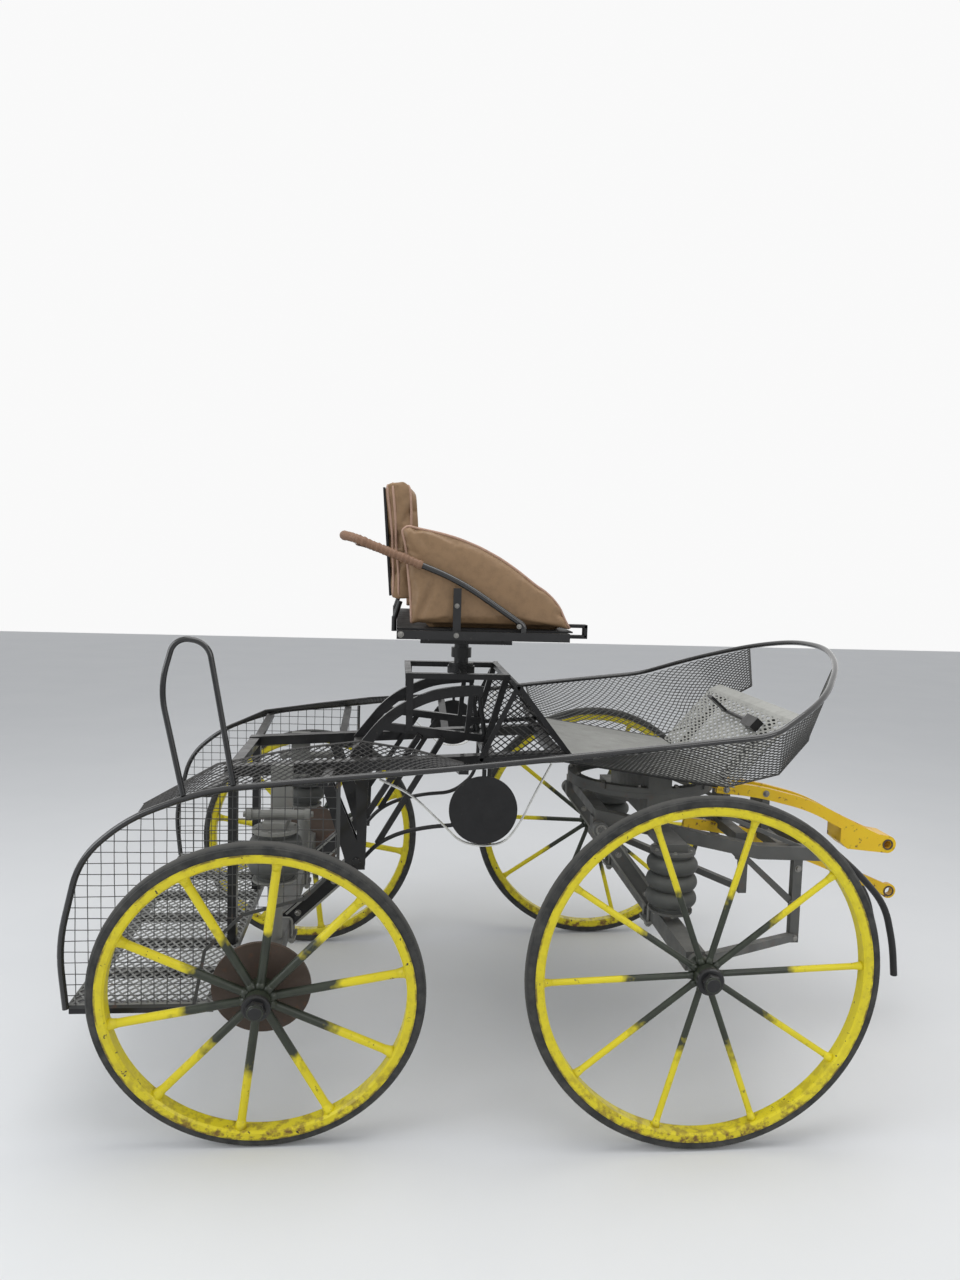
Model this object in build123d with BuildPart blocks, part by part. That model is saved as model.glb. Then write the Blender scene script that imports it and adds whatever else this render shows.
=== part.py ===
from build123d import *
import math
import os

# Four-wheeled driving carriage with a turning fore-carriage, a groom's stand and air springs.
# Units are millimetres. +X points forward, +Y to the carriage's left, +Z up.
# The origin lies on the floor, below the middle of the carriage's bounding box.

os.makedirs("parts", exist_ok=True)

# Sides of the carriage: name and sign of Y
SIDES = (("right", -1), ("left", 1))

# Clearance between pieces that lie against each other
GAP = 0.3
SHEET = 2.5

# Axles and wheels
REAR_AXLE_X = -737
WHEELBASE = 1086
FRONT_AXLE_X = REAR_AXLE_X + WHEELBASE
FRONT_WHEEL_R = 450
REAR_WHEEL_R = 400
TYRE_DEPTH = 24
TYRE_WIDTH = 38
TYRE_CROWN_DROP = TYRE_DEPTH * 0.35
TYRE_CROWN_R = ((TYRE_WIDTH / 2) ** 2 + TYRE_CROWN_DROP**2) / (2 * TYRE_CROWN_DROP)
RIM_DEPTH = 23
RIM_WIDTH = 40
REAR_CAMBER = 7
FRONT_CAMBER = 0
REAR_TRACK_HALF = 650
FRONT_TRACK_HALF = 668
SPOKE_COUNT = 10
REAR_SPOKE_R = 10.5
FRONT_SPOKE_R = 8
REAR_SPOKE_ANGLE = 82.4
FRONT_SPOKE_ANGLE = 74.4
HUB_R = 30
HUB_LENGTH = 84
HUB_WALL = 14
HUB_CAP_R = 19
HUB_CAP_LENGTH = 22
SPINDLE_R = 14
SPINDLE_CLEARANCE = 0.06
BRAKE_DISC_R = 120
BRAKE_DISC_THICK = 8
AXLE_SIZE = 50

# Round stock
RAIL_R = 8
HOOP_R = 7
ARM_RAIL_R = 8

# Right side rail from the foot of the rear wing to the start of the bow: x, half width, z
RAIL_POINTS = (
    (-1206, 580, 342),
    (-1222, 580, 500),
    (-1172, 580, 715),
    (-1060, 580, 812),
    (-880, 580, 882),
    (-637, 582, 907),
    (-257, 605, 949),
    (97, 632, 994),
    (401, 632, 1029),
)
# Rail round the front, from its joint with the side rail to the last point before the middle
BOW_POINTS = (
    (401 + GAP, 632, 1029),
    (510, 632, 1041.5),
    (690, 520, 1118),
    (824, 310, 1186),
    (888, 110, 1219),
)

# Rear wing: outline below the rail as x, z; it keeps clear of the axle
WING_OUTLINE = (
    (-1208, 340),
    (-905, 340),
    (-880, 480),
    (-790, 570),
    (-640, 610),
    (-560, 690),
    (-560, 909),
)
# Guard strip beside the rear of the rail: x, width, rise of its inner edge
GUARD_TABLE = (
    (-1040, 60, 8),
    (-880, 150, 28),
    (-690, 190, 42),
    (-520, 200, 46),
    (-380, 120, 28),
    (-257, 20, 4),
)

# Groom's stand
STAND_REAR_X = -1192
STAND_FRONT_X = -870
STAND_HALF = 568.9
STAND_Z = 345
STAND_BAR = 22
STAND_SLATS = 7

# Chassis beams: x and z of the centre line
BEAM_Y = 215
BEAM_WIDTH = 40
BEAM_HEIGHT = 30
BEAM_REAR = (-898, 846)
BEAM_KINK = (60, 897)
BEAM_FRONT = (520, 826)
CROSS_X = (-880, -540, -150, 45)
CROSS_HEIGHT = 24
OUTRIGGER_X = (-880, -600, -257, 45)

# Front floor, toe board and basket
FLOOR_REAR = (62, 914.6)
FLOOR_LOW = (524, 843.3)
TOE_TOP = (690, 1030)
FLOOR_HALF = 356
TOE_HALF = 336
RISER_TOP = (-88, 1110)
RISER_HALF = 300

# Turntable
RING_R = 226
RING_BAR = 26
RING_THICK = 16
RING_TOP_Z = 788
RING_GAP = 0.4
KING_PIN_R = 15
BOLSTER_WIDTH = 70

# Fore-carriage beams: x and z of the centre line
FORE_BEAM_Y = 205
FORE_BEAM_LINE = ((160, 721), (400, 668), (660, 612), (860, 606))
FORE_BEAM_SIZE = 40

# Springs and swing arms
ARM_WIDTH = 30
ARM_HEIGHT = 44
PIVOT_R = 10
REAR_PIVOT = (-528, 590)
FORE_PIVOT = (172, 690)
FORE_ARM_Y = 245
SPRING_R = 70
SPRING_WAIST_R = 50
SPRING_Y = 372
REAR_SPRING_Z = (596, 722)
FORE_SPRING_Z = (505, 665)

# Seat
SEAT_REAR_X = -428
SEAT_FRONT_X = 22
SEAT_PANEL_Y = 450
SEAT_PANEL_THICK = 30
SEAT_FRAME_HALF = SEAT_PANEL_Y + SEAT_PANEL_THICK + 32
SEAT_BAR = 22
SEAT_Z = 1278
PANEL_RISE = 266
SEAT_PAN_THICK = 4
CUSHION_THICK = 90
CUSHION_HALF = 444
BACK_THICK = 68
BACK_HALF = 440
BACK_LOW = (-408, 1342)
BACK_TOP = (-432, 1652)
POST_X = -228
POST_R = 22
SUBFRAME_Z = 1117
ARCH_Y = 150
ARCH_THICK = 20
ARCH_DEPTH = 30


def write(piece, name):
    piece.part.label = name
    export_step(piece.part, f"parts/{name}.step")


def beam_z(x):
    # Height of the chassis beam's centre line
    first, second = (BEAM_REAR, BEAM_KINK) if x < BEAM_KINK[0] else (BEAM_KINK, BEAM_FRONT)
    share = (x - first[0]) / (second[0] - first[0])
    return first[1] + share * (second[1] - first[1])


def fore_beam_z(x):
    for (x0, z0), (x1, z1) in zip(FORE_BEAM_LINE, FORE_BEAM_LINE[1:]):
        if x <= x1:
            return z0 + (x - x0) / (x1 - x0) * (z1 - z0)
    return FORE_BEAM_LINE[-1][1]


def rail_at(x):
    # Half width and height of the side rail's centre line
    for (x0, y0, z0), (x1, y1, z1) in zip(RAIL_POINTS[2:], RAIL_POINTS[3:]):
        if x0 <= x <= x1:
            share = (x - x0) / (x1 - x0)
            return y0 + share * (y1 - y0), z0 + share * (z1 - z0)
    return RAIL_POINTS[-1][1], RAIL_POINTS[-1][2]


def corner_radii(points):
    # Each arc is as large as its two runs allow.
    spots = [Vector(*point) for point in points]
    radii = []
    for before, corner, after in zip(spots, spots[1:], spots[2:]):
        run_in = corner - before
        run_out = after - corner
        turn = math.radians(run_in.get_angle(run_out))
        radii.append(0.45 * min(run_in.length, run_out.length) / math.tan(turn / 2))
    return radii


def tube(points, radius):
    with BuildLine() as path:
        FilletPolyline(*points, radius=corner_radii(points))
    with BuildSketch(Plane(origin=path.line @ 0, z_dir=path.line % 0)) as section:
        Circle(radius)
    sweep(section.sketch, path=path.line)


def rod(start, end, radius, mode=Mode.ADD):
    along = Vector(*end) - Vector(*start)
    with BuildSketch(Plane(origin=start, z_dir=along)) as section:
        Circle(radius)
    extrude(section.sketch, amount=along.length, mode=mode)


def bar(start, end, width, height, mode=Mode.ADD):
    # Rectangular bar: its width lies level, its height stands across its run.
    along = Vector(*end) - Vector(*start)
    level = Vector(0, 0, 1).cross(along)
    if level.length < 1e-6:
        level = Vector(0, 1, 0)
    with BuildSketch(Plane(origin=start, x_dir=level, z_dir=along)) as section:
        Rectangle(width, height)
    extrude(section.sketch, amount=along.length, mode=mode)


def block(low, high, mode=Mode.ADD):
    # Box between two corners
    size = [b - a for a, b in zip(low, high)]
    with BuildSketch(Plane.XY.offset(low[2])) as base:
        with Locations(((low[0] + high[0]) / 2, (low[1] + high[1]) / 2)):
            Rectangle(size[0], size[1])
    extrude(base.sketch, amount=size[2], mode=mode)


def side_plate(outline, y_low, thick, mode=Mode.ADD):
    # Upright plate from an outline of x, z points; it reaches from y_low towards +Y.
    with BuildSketch(Plane.XZ.offset(-y_low)) as face:
        with BuildLine():
            Polyline(*outline, close=True)
        make_face()
    extrude(face.sketch, amount=-thick, mode=mode)


def cross_plate(outline, x_low, thick):
    # Upright plate across the carriage from an outline of y, z points
    with BuildSketch(Plane.YZ.offset(x_low)) as face:
        with BuildLine():
            Polyline(*outline, close=True)
        make_face()
    extrude(face.sketch, amount=thick)


def slab(rear, front, half, thick):
    # Sheet across the carriage whose upper face runs between two x, z points.
    run = Vector(front[0] - rear[0], 0, front[1] - rear[1])
    down = Vector(run.Z, 0, -run.X).normalized() * thick
    outline = (rear, front, (front[0] + down.X, front[1] + down.Z), (rear[0] + down.X, rear[1] + down.Z))
    side_plate(outline, -half, 2 * half)


def skin(stations):
    # Thin sheet through quadrilaterals, one per station, as lists of x, y, z corners.
    faces = [Face(Wire.make_polygon([Vector(*corner) for corner in station])) for station in stations]
    loft(sections=faces, ruled=True)


# Wheels: name, sign of Y, axle x, wheel radius, track half, camber, spoke radius, first spoke angle
WHEELS = (
    ("rear_right", -1, REAR_AXLE_X, REAR_WHEEL_R, REAR_TRACK_HALF, REAR_CAMBER, REAR_SPOKE_R, REAR_SPOKE_ANGLE),
    ("rear_left", 1, REAR_AXLE_X, REAR_WHEEL_R, REAR_TRACK_HALF, REAR_CAMBER, REAR_SPOKE_R, REAR_SPOKE_ANGLE),
    ("front_right", -1, FRONT_AXLE_X, FRONT_WHEEL_R, FRONT_TRACK_HALF, FRONT_CAMBER, FRONT_SPOKE_R, FRONT_SPOKE_ANGLE),
    ("front_left", 1, FRONT_AXLE_X, FRONT_WHEEL_R, FRONT_TRACK_HALF, FRONT_CAMBER, FRONT_SPOKE_R, FRONT_SPOKE_ANGLE),
)


def wheel_plane(sign, axle_x, wheel_r, track_half, camber):
    # The plane's Z runs outwards along the axle and its X forwards. A positive camber leans the top outwards.
    lean = math.radians(camber)
    outward = (0, sign * math.cos(lean), -math.sin(lean))
    centre_z = (wheel_r - TYRE_CROWN_R) * math.cos(lean) + TYRE_CROWN_R
    return Plane(origin=(axle_x, sign * track_half, centre_z), x_dir=(1, 0, 0), z_dir=outward)


spindle_seats = {}
for name, sign, axle_x, wheel_r, track_half, camber, spoke_r, spoke_angle in WHEELS:
    plane = wheel_plane(sign, axle_x, wheel_r, track_half, camber)
    rim_outer = wheel_r - TYRE_DEPTH
    rim_inner = rim_outer - RIM_DEPTH
    bore_r = SPINDLE_R + SPINDLE_CLEARANCE
    half_tyre = TYRE_WIDTH / 2
    half_rim = RIM_WIDTH / 2
    shoulder = wheel_r - TYRE_CROWN_DROP

    with BuildPart() as tyre:
        with BuildSketch(Plane.XZ) as tyre_section:
            with BuildLine():
                Line((rim_outer + GAP, -half_tyre), (shoulder, -half_tyre))
                ThreePointArc((shoulder, -half_tyre), (wheel_r, 0), (shoulder, half_tyre))
                Line((shoulder, half_tyre), (rim_outer + GAP, half_tyre))
                Line((rim_outer + GAP, half_tyre), (rim_outer + GAP, -half_tyre))
            make_face()
        revolve(axis=Axis.Z)
    tyre.part = plane.location * tyre.part
    write(tyre, f"tyre_{name}")

    with BuildPart() as wheel:
        with BuildSketch(Plane.XZ) as rim_section:
            with BuildLine():
                Polyline(
                    (rim_inner, 5 - half_rim),
                    (rim_inner + 5, -half_rim),
                    (rim_outer, -half_rim),
                    (rim_outer, half_rim),
                    (rim_inner + 5, half_rim),
                    (rim_inner, half_rim - 5),
                    close=True,
                )
            make_face()
        revolve(axis=Axis.Z)
        with BuildSketch(Plane.XY.offset(-HUB_LENGTH / 2)):
            Circle(HUB_R)
        extrude(amount=HUB_LENGTH)
        with BuildSketch(Plane.XY.offset(HUB_LENGTH / 2)):
            Circle(HUB_CAP_R)
        extrude(amount=HUB_CAP_LENGTH)
        with PolarLocations(HUB_R - 8, SPOKE_COUNT, start_angle=spoke_angle):
            Cylinder(
                spoke_r,
                rim_inner + 4 - (HUB_R - 8),
                rotation=(0, 90, 0),
                align=(Align.CENTER, Align.CENTER, Align.MIN),
            )
        with BuildSketch(Plane.XY.offset(-HUB_LENGTH / 2)):
            Circle(bore_r)
        extrude(amount=HUB_LENGTH - HUB_WALL, mode=Mode.SUBTRACT)
    wheel.part = plane.location * wheel.part
    write(wheel, f"wheel_{name}")

    # The rear wheels carry a brake disc on the hub's inner end.
    inner_end = -HUB_LENGTH / 2
    if axle_x == REAR_AXLE_X:
        with BuildPart() as disc:
            with BuildSketch(Plane.XY.offset(inner_end - BRAKE_DISC_THICK)):
                Circle(BRAKE_DISC_R)
                Circle(bore_r, mode=Mode.SUBTRACT)
            extrude(amount=BRAKE_DISC_THICK)
        disc.part = plane.location * disc.part
        write(disc, f"brake_disc_{name}")
        inner_end -= BRAKE_DISC_THICK
    shoulder_plane = plane.offset(inner_end - 1)
    spindle_seats[name] = (shoulder_plane, HUB_LENGTH / 2 - HUB_WALL - GAP - inner_end + 1)


def axle(names, axle_x, name):
    # Square beam with a spindle at each end, square to its wheel
    ends = [spindle_seats[wheel_name][0].origin for wheel_name in names]
    beam_half = abs(ends[0].Y) - 30
    with BuildPart() as beam:
        centre_z = ends[0].Z
        block(
            (axle_x - AXLE_SIZE / 2, -beam_half, centre_z - AXLE_SIZE / 2),
            (axle_x + AXLE_SIZE / 2, beam_half, centre_z + AXLE_SIZE / 2),
        )
        for wheel_name in names:
            seat, length = spindle_seats[wheel_name]
            with BuildSketch(seat.offset(-60)) as collar:
                Circle(22)
            extrude(collar.sketch, amount=60)
            with BuildSketch(seat) as spindle:
                Circle(SPINDLE_R)
            extrude(spindle.sketch, amount=length)
    write(beam, name)
    return centre_z


rear_axle_z = axle(("rear_right", "rear_left"), REAR_AXLE_X, "rear_axle")
front_axle_z = axle(("front_right", "front_left"), FRONT_AXLE_X, "front_axle")


# Side rails and bow
with BuildPart() as rails:
    for side, sign in SIDES:
        tube([(x, sign * y, z) for x, y, z in RAIL_POINTS], RAIL_R)
write(rails, "side_rails")

with BuildPart() as bow:
    right_half = [(x, -y, z) for x, y, z in BOW_POINTS]
    left_half = [(x, y, z) for x, y, z in reversed(BOW_POINTS)]
    tube(right_half + left_half, RAIL_R)
write(bow, "rail_bow")

# Rear wings, carried on the rail's inner side, with a grid of openings inside a plain border
WING_GRID = (12, 11)
WING_MIDDLE = (-884, 625)
WING_PITCH = 54
WING_BAR = 7
WING_BORDER = 8
wing_y = RAIL_POINTS[0][1] - RAIL_R - GAP
with BuildPart() as wings:
    for side, sign in SIDES:
        low_y = -wing_y if sign < 0 else wing_y - SHEET
        rail_run = [(x, z) for x, y, z in RAIL_POINTS[:5]] + [WING_OUTLINE[-1]]
        with BuildSketch(Plane.XZ.offset(-low_y)) as face:
            with BuildLine():
                FilletPolyline(*rail_run, radius=corner_radii(rail_run))
                Polyline(*WING_OUTLINE[::-1], rail_run[0])
            make_face()
        extrude(face.sketch, amount=-SHEET)
        with BuildSketch(Plane.XZ.offset(-low_y)) as holes:
            with BuildLine():
                FilletPolyline(*rail_run, radius=corner_radii(rail_run))
                Polyline(*WING_OUTLINE[::-1], rail_run[0])
            make_face()
            offset(amount=-WING_BORDER, kind=Kind.INTERSECTION)
            with Locations(WING_MIDDLE):
                with GridLocations(WING_PITCH, WING_PITCH, *WING_GRID):
                    Rectangle(WING_PITCH - WING_BAR, WING_PITCH - WING_BAR, mode=Mode.INTERSECT)
        extrude(holes.sketch, amount=-SHEET, mode=Mode.SUBTRACT)
write(wings, "wings")

# Guard strips that rise inwards from the rail
with BuildPart() as guards:
    for side, sign in SIDES:
        stations = []
        for x, width, rise in GUARD_TABLE:
            half, z = rail_at(x)
            outer = half - RAIL_R - 3 * GAP - SHEET
            stations.append(
                (
                    (x, sign * outer, z),
                    (x, sign * (outer - width), z + rise),
                    (x, sign * (outer - width), z + rise + SHEET),
                    (x, sign * outer, z + SHEET),
                )
            )
        skin(stations)
write(guards, "guard_strips")

# Groom's stand: a frame with cross slats between the feet of the wings
with BuildPart() as stand:
    for x in (STAND_REAR_X, STAND_FRONT_X):
        block((x - STAND_BAR / 2, -STAND_HALF, STAND_Z - STAND_BAR), (x + STAND_BAR / 2, STAND_HALF, STAND_Z))
    pitch = (2 * STAND_HALF - STAND_BAR) / (STAND_SLATS - 1)
    for slat in range(STAND_SLATS):
        y = -STAND_HALF + slat * pitch
        block((STAND_REAR_X, y, STAND_Z - STAND_BAR), (STAND_FRONT_X, y + STAND_BAR, STAND_Z))
write(stand, "stand_frame")

with BuildPart() as tread:
    block(
        (STAND_REAR_X - STAND_BAR / 2, -STAND_HALF, STAND_Z + GAP),
        (STAND_FRONT_X + STAND_BAR / 2, STAND_HALF, STAND_Z + GAP + SHEET),
    )
write(tread, "stand_tread")

# Hangers from the chassis beams down to the stand
HANGER_X = (-888, -864)
with BuildPart() as hangers:
    for side, sign in SIDES:
        foot = [(x, STAND_Z + 2 * GAP + SHEET) for x in reversed(HANGER_X)]
        top = [(x, beam_z(x) - BEAM_HEIGHT / 2 - GAP) for x in HANGER_X]
        side_plate(top + foot, sign * BEAM_Y - 15, 30)
write(hangers, "stand_hangers")

# Grab hoop on the right rail
hoop_front = rail_at(-812)
hoop_rear = rail_at(-930)
with BuildPart() as hoop:
    y = -RAIL_POINTS[4][1]
    tube(
        (
            (-812, y, hoop_front[1] + RAIL_R + GAP),
            (-852, y, 1130),
            (-872, y, 1240),
            (-950, y, 1252),
            (-984, y, 1130),
            (-930, y, hoop_rear[1] + RAIL_R + GAP),
        ),
        HOOP_R,
    )
write(hoop, "grab_hoop")

# Chassis beams, cross members and outriggers
with BuildPart() as beams:
    for side, sign in SIDES:
        outline = []
        for x, z in (BEAM_REAR, BEAM_KINK, BEAM_FRONT):
            outline.append((x, z + BEAM_HEIGHT / 2))
        for x, z in (BEAM_FRONT, BEAM_KINK, BEAM_REAR):
            outline.append((x, z - BEAM_HEIGHT / 2))
        side_plate(outline, sign * BEAM_Y - BEAM_WIDTH / 2, BEAM_WIDTH)
write(beams, "chassis_beams")

with BuildPart() as crosses:
    inner = BEAM_Y - BEAM_WIDTH / 2 - GAP
    for x in CROSS_X:
        z = beam_z(x)
        block((x - 15, -inner, z - CROSS_HEIGHT / 2), (x + 15, inner, z + CROSS_HEIGHT / 2))
write(crosses, "cross_members")

with BuildPart() as outriggers:
    for side, sign in SIDES:
        for x in OUTRIGGER_X:
            half, rail_z = rail_at(x)
            inside_rail = half - RAIL_R - 1
            inside_wing = wing_y - SHEET - GAP
            root = sign * (BEAM_Y + BEAM_WIDTH / 2 + GAP)
            tip = sign * (inside_wing if x < WING_OUTLINE[-1][0] else inside_rail)
            root_z = beam_z(x) - 6
            tip_z = rail_z - 12
            outline = ((root, root_z - 7), (tip, tip_z - 7), (tip, tip_z + 7), (root, root_z + 7))
            cross_plate(outline, x - 12, 24)
write(outriggers, "outriggers")

# Brackets that carry the rear swing arms' pivots below the beams
pivot_x, pivot_z = REAR_PIVOT
plate_gap = ARM_WIDTH / 2 + GAP
with BuildPart() as brackets:
    for side, sign in SIDES:
        for inner in (sign * BEAM_Y - plate_gap - 5, sign * BEAM_Y + plate_gap):
            top = [(x, beam_z(x) - BEAM_HEIGHT / 2 - GAP) for x in (-640, -498)]
            side_plate(top + [(pivot_x + 24, pivot_z - 24), (pivot_x - 24, pivot_z - 24)], inner, 5)
            hole = ((-603, 828), (-534, 831), (pivot_x, pivot_z + 60))
            side_plate(hole, inner, 5, mode=Mode.SUBTRACT)
        pin_start = (pivot_x, sign * BEAM_Y - plate_gap - 10, pivot_z)
        pin_end = (pivot_x, sign * BEAM_Y + plate_gap + 10, pivot_z)
        rod(pin_start, pin_end, PIVOT_R)
write(brackets, "rear_brackets")


# Stays from the brackets' feet up to the arches and forward to the middle cross member
STAY_Y = BEAM_Y - plate_gap - 5 - GAP - 7
STAY_POINTS = ((-521, 572), (-471, 628), (-406, 660), (-320, 678), (-230, 684), (-165, 740), (-150, 800))
# Foot x and z, top x and z
STAY_BARS = (
    (-471, 628, -288, 936),
    (-507, 705, -355, 944),
)
with BuildPart() as stays:
    for side, sign in SIDES:
        top_z = beam_z(-150) - CROSS_HEIGHT / 2 - GAP
        tube([(x, sign * STAY_Y, z) for x, z in STAY_POINTS] + [(-150, sign * STAY_Y, top_z)], 6)
        for foot_x, foot_z, top_x, top_z in STAY_BARS:
            top_y = ARCH_Y + ARCH_THICK / 2 + GAP + 7
            bar((foot_x, sign * STAY_Y, foot_z), (top_x, sign * top_y, top_z), 12, 16)
write(stays, "rear_stays")


def swing_arms(pivot, axle_x, axle_z, arm_y, name):
    # Box arms from a pivot to the near face of the axle beam
    with BuildPart() as arms:
        for side, sign in SIDES:
            y = sign * arm_y
            bar((pivot[0], y, pivot[1]), (axle_x, y, axle_z), ARM_WIDTH, ARM_HEIGHT)
            rod((pivot[0], y - ARM_WIDTH / 2, pivot[1]), (pivot[0], y + ARM_WIDTH / 2, pivot[1]), ARM_HEIGHT / 2)
            seat = AXLE_SIZE / 2 + GAP
            low = (axle_x - seat, y - ARM_WIDTH, axle_z - seat)
            high = (axle_x + seat, y + ARM_WIDTH, axle_z + seat)
            block(low, high, mode=Mode.SUBTRACT)
            rod(
                (pivot[0], y - ARM_WIDTH, pivot[1]),
                (pivot[0], y + ARM_WIDTH, pivot[1]),
                PIVOT_R + GAP,
                mode=Mode.SUBTRACT,
            )
    write(arms, name)


swing_arms(REAR_PIVOT, REAR_AXLE_X, rear_axle_z, BEAM_Y, "rear_arms")
swing_arms(FORE_PIVOT, FRONT_AXLE_X, front_axle_z, FORE_ARM_Y, "fore_arms")


def air_springs(x, low_z, high_z, waves, name):
    # Bellows between two end plates, with as many waves as the real one has
    pitch = (high_z - low_z - 20) / waves
    with BuildPart() as springs:
        with BuildSketch(Plane.XZ) as outline:
            with BuildLine():
                Line((0, low_z), (SPRING_WAIST_R, low_z))
                Line((SPRING_WAIST_R, low_z), (SPRING_WAIST_R, low_z + 10))
                for wave in range(waves):
                    z = low_z + 10 + wave * pitch
                    crest = z + pitch / 2
                    ThreePointArc((SPRING_WAIST_R, z), (SPRING_R, crest), (SPRING_WAIST_R, z + pitch))
                Line((SPRING_WAIST_R, high_z - 10), (SPRING_WAIST_R, high_z))
                Line((SPRING_WAIST_R, high_z), (0, high_z))
                Line((0, high_z), (0, low_z))
            make_face()
        revolve(axis=Axis.Z)
    right = springs.part.moved(Location((x, -SPRING_Y, 0)))
    left = springs.part.moved(Location((x, SPRING_Y, 0)))
    with BuildPart() as pair:
        add(right)
        add(left)
    write(pair, name)


def spring_seats(x, axle_z, heights, beam_y, beam_half, name):
    # Posts from the axle up to the springs, and arms from the beams out over them
    spring_low, spring_high = heights
    with BuildPart() as seats:
        for side, sign in SIDES:
            y = sign * SPRING_Y
            plate_z = spring_low - GAP - 6
            rod((x, y, axle_z + AXLE_SIZE / 2 + GAP), (x, y, plate_z), 20)
            rod((x, y, plate_z), (x, y, spring_low - GAP), SPRING_R - 10)
            top_z = spring_high + GAP
            rod((x, y, top_z), (x, y, top_z + 8), SPRING_R - 8)
            root = sign * (beam_y + beam_half + GAP)
            tip = sign * (SPRING_Y + 40)
            low = (x - 30, min(root, tip), top_z)
            high = (x + 30, max(root, tip), top_z + 30)
            block(low, high)
            if x == REAR_AXLE_X:
                low = (x - 30, min(root, root + sign * 20), top_z)
                high = (x + 30, max(root, root + sign * 20), beam_z(x) + BEAM_HEIGHT / 2)
                block(low, high)
    write(seats, name)


air_springs(REAR_AXLE_X, REAR_SPRING_Z[0], REAR_SPRING_Z[1], 2, "rear_springs")
spring_seats(REAR_AXLE_X, rear_axle_z, REAR_SPRING_Z, BEAM_Y, BEAM_WIDTH / 2, "rear_spring_seats")
air_springs(FRONT_AXLE_X, FORE_SPRING_Z[0], FORE_SPRING_Z[1], 3, "fore_springs")
spring_seats(FRONT_AXLE_X, front_axle_z, FORE_SPRING_Z, FORE_BEAM_Y, FORE_BEAM_SIZE / 2, "fore_spring_seats")

# Arches that carry the seat, each a flat bar with a round front leg, a sloping tie and an upright
ARCH_POINTS = ((-552, 862), (-440, 1004), (-310, 1064), (-198, 1075), (-172, 1072))
ARCH_LEG = ((-184, 1070), (-150, 860))
ARCH_TIE = ((-478, 968), (-150, 932))
ARCH_UPRIGHT = ((-216, 950), (-206, 1068))
with BuildPart() as arches:
    for side, sign in SIDES:
        with BuildSketch(Plane.XZ.offset(-(sign * ARCH_Y - ARCH_THICK / 2))) as face:
            with BuildLine() as centre:
                FilletPolyline(*ARCH_POINTS, radius=corner_radii(ARCH_POINTS))
            trace(centre.line, ARCH_DEPTH)
            for run, width in ((ARCH_TIE, 22), (ARCH_UPRIGHT, 14)):
                with BuildLine() as centre:
                    Line(*run)
                trace(centre.line, width)
        extrude(face.sketch, amount=-ARCH_THICK)
        leg_top, leg_low = [(x, sign * ARCH_Y, z) for x, z in ARCH_LEG]
        rod(leg_top, leg_low, 7)
        for x in (CROSS_X[1], CROSS_X[2]):
            foot = beam_z(x) + CROSS_HEIGHT / 2 + 1
            low = (x - 60, sign * ARCH_Y - ARCH_THICK, foot - 90)
            high = (x + 60, sign * ARCH_Y + ARCH_THICK, foot)
            block(low, high, mode=Mode.SUBTRACT)
write(arches, "seat_arches")

# Seat sub-frame on the arches
subframe_low = SUBFRAME_Z - 8
leg_foot = (-168, beam_z(-150) + CROSS_HEIGHT / 2 + GAP)
leg_y = ARCH_Y + ARCH_THICK / 2 + 6 + GAP
with BuildPart() as subframe:
    for side, sign in SIDES:
        y = sign * (leg_y - 8)
        block((-400, y - 14, subframe_low), (-95, y + 14, SUBFRAME_Z + 8))
        y = sign * leg_y
        bar((-106, y, SUBFRAME_Z), (leg_foot[0] - 6, y, leg_foot[1] - 30), 12, 18)
        block((-230, y - 10, leg_foot[1] - 80), (-120, y + 10, leg_foot[1]), mode=Mode.SUBTRACT)
        post_y = sign * (ARCH_Y + ARCH_THICK / 2 + GAP + 5)
        block((-396, post_y - 5, 955), (-376, post_y + 5, SUBFRAME_Z))
    for x in (-391, POST_X, -104):
        block((x - 9, -ARCH_Y, subframe_low), (x + 9, ARCH_Y, SUBFRAME_Z + 8))
    rod((POST_X, 0, subframe_low), (POST_X, 0, SUBFRAME_Z + 14), 42)
write(subframe, "seat_subframe")

# Pedestal between the sub-frame and the seat
post_foot = SUBFRAME_Z + 14 + GAP
frame_low = SEAT_Z - SEAT_PAN_THICK - SEAT_BAR
cradle_z = frame_low - 16
with BuildPart() as post:
    rod((POST_X, 0, post_foot), (POST_X, 0, cradle_z - 22), POST_R)
    rod((POST_X, 0, post_foot), (POST_X, 0, post_foot + 10), 38)
    rod((POST_X, 0, post_foot + 26), (POST_X, 0, post_foot + 56), POST_R + 9)
    rod((POST_X, 0, cradle_z - 34), (POST_X, 0, cradle_z - 22), 60)
write(post, "seat_post")

# Cradle: stepped slats that narrow from the seat frame down to the pedestal
with BuildPart() as cradle:
    for x in (-330, -228, -126):
        bar((x, -330, frame_low - 10 - GAP), (x, 330, frame_low - 10 - GAP), 22, 20)
    for y in (-180, 0, 180):
        bar((-360, y, frame_low - 28), (-96, y, frame_low - 28), 24, 20)
write(cradle, "seat_cradle")

# Seat frame under the pan
with BuildPart() as frame:
    low = frame_low
    high = SEAT_Z - SEAT_PAN_THICK - GAP
    front = SEAT_FRONT_X - 12
    for y in (-SEAT_FRAME_HALF, -360, -180, -11, 158, 338, SEAT_FRAME_HALF - SEAT_BAR):
        block((SEAT_REAR_X, y, low), (front, y + SEAT_BAR, high))
    for x in (SEAT_REAR_X, -216, front - SEAT_BAR):
        block((x, -SEAT_FRAME_HALF, low), (x + SEAT_BAR, SEAT_FRAME_HALF, high))
write(frame, "seat_frame")

with BuildPart() as pan:
    half = SEAT_PANEL_Y + SEAT_PANEL_THICK + 4
    block((SEAT_REAR_X, -half, SEAT_Z - SEAT_PAN_THICK), (SEAT_FRONT_X, half, SEAT_Z))
write(pan, "seat_pan")

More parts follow.
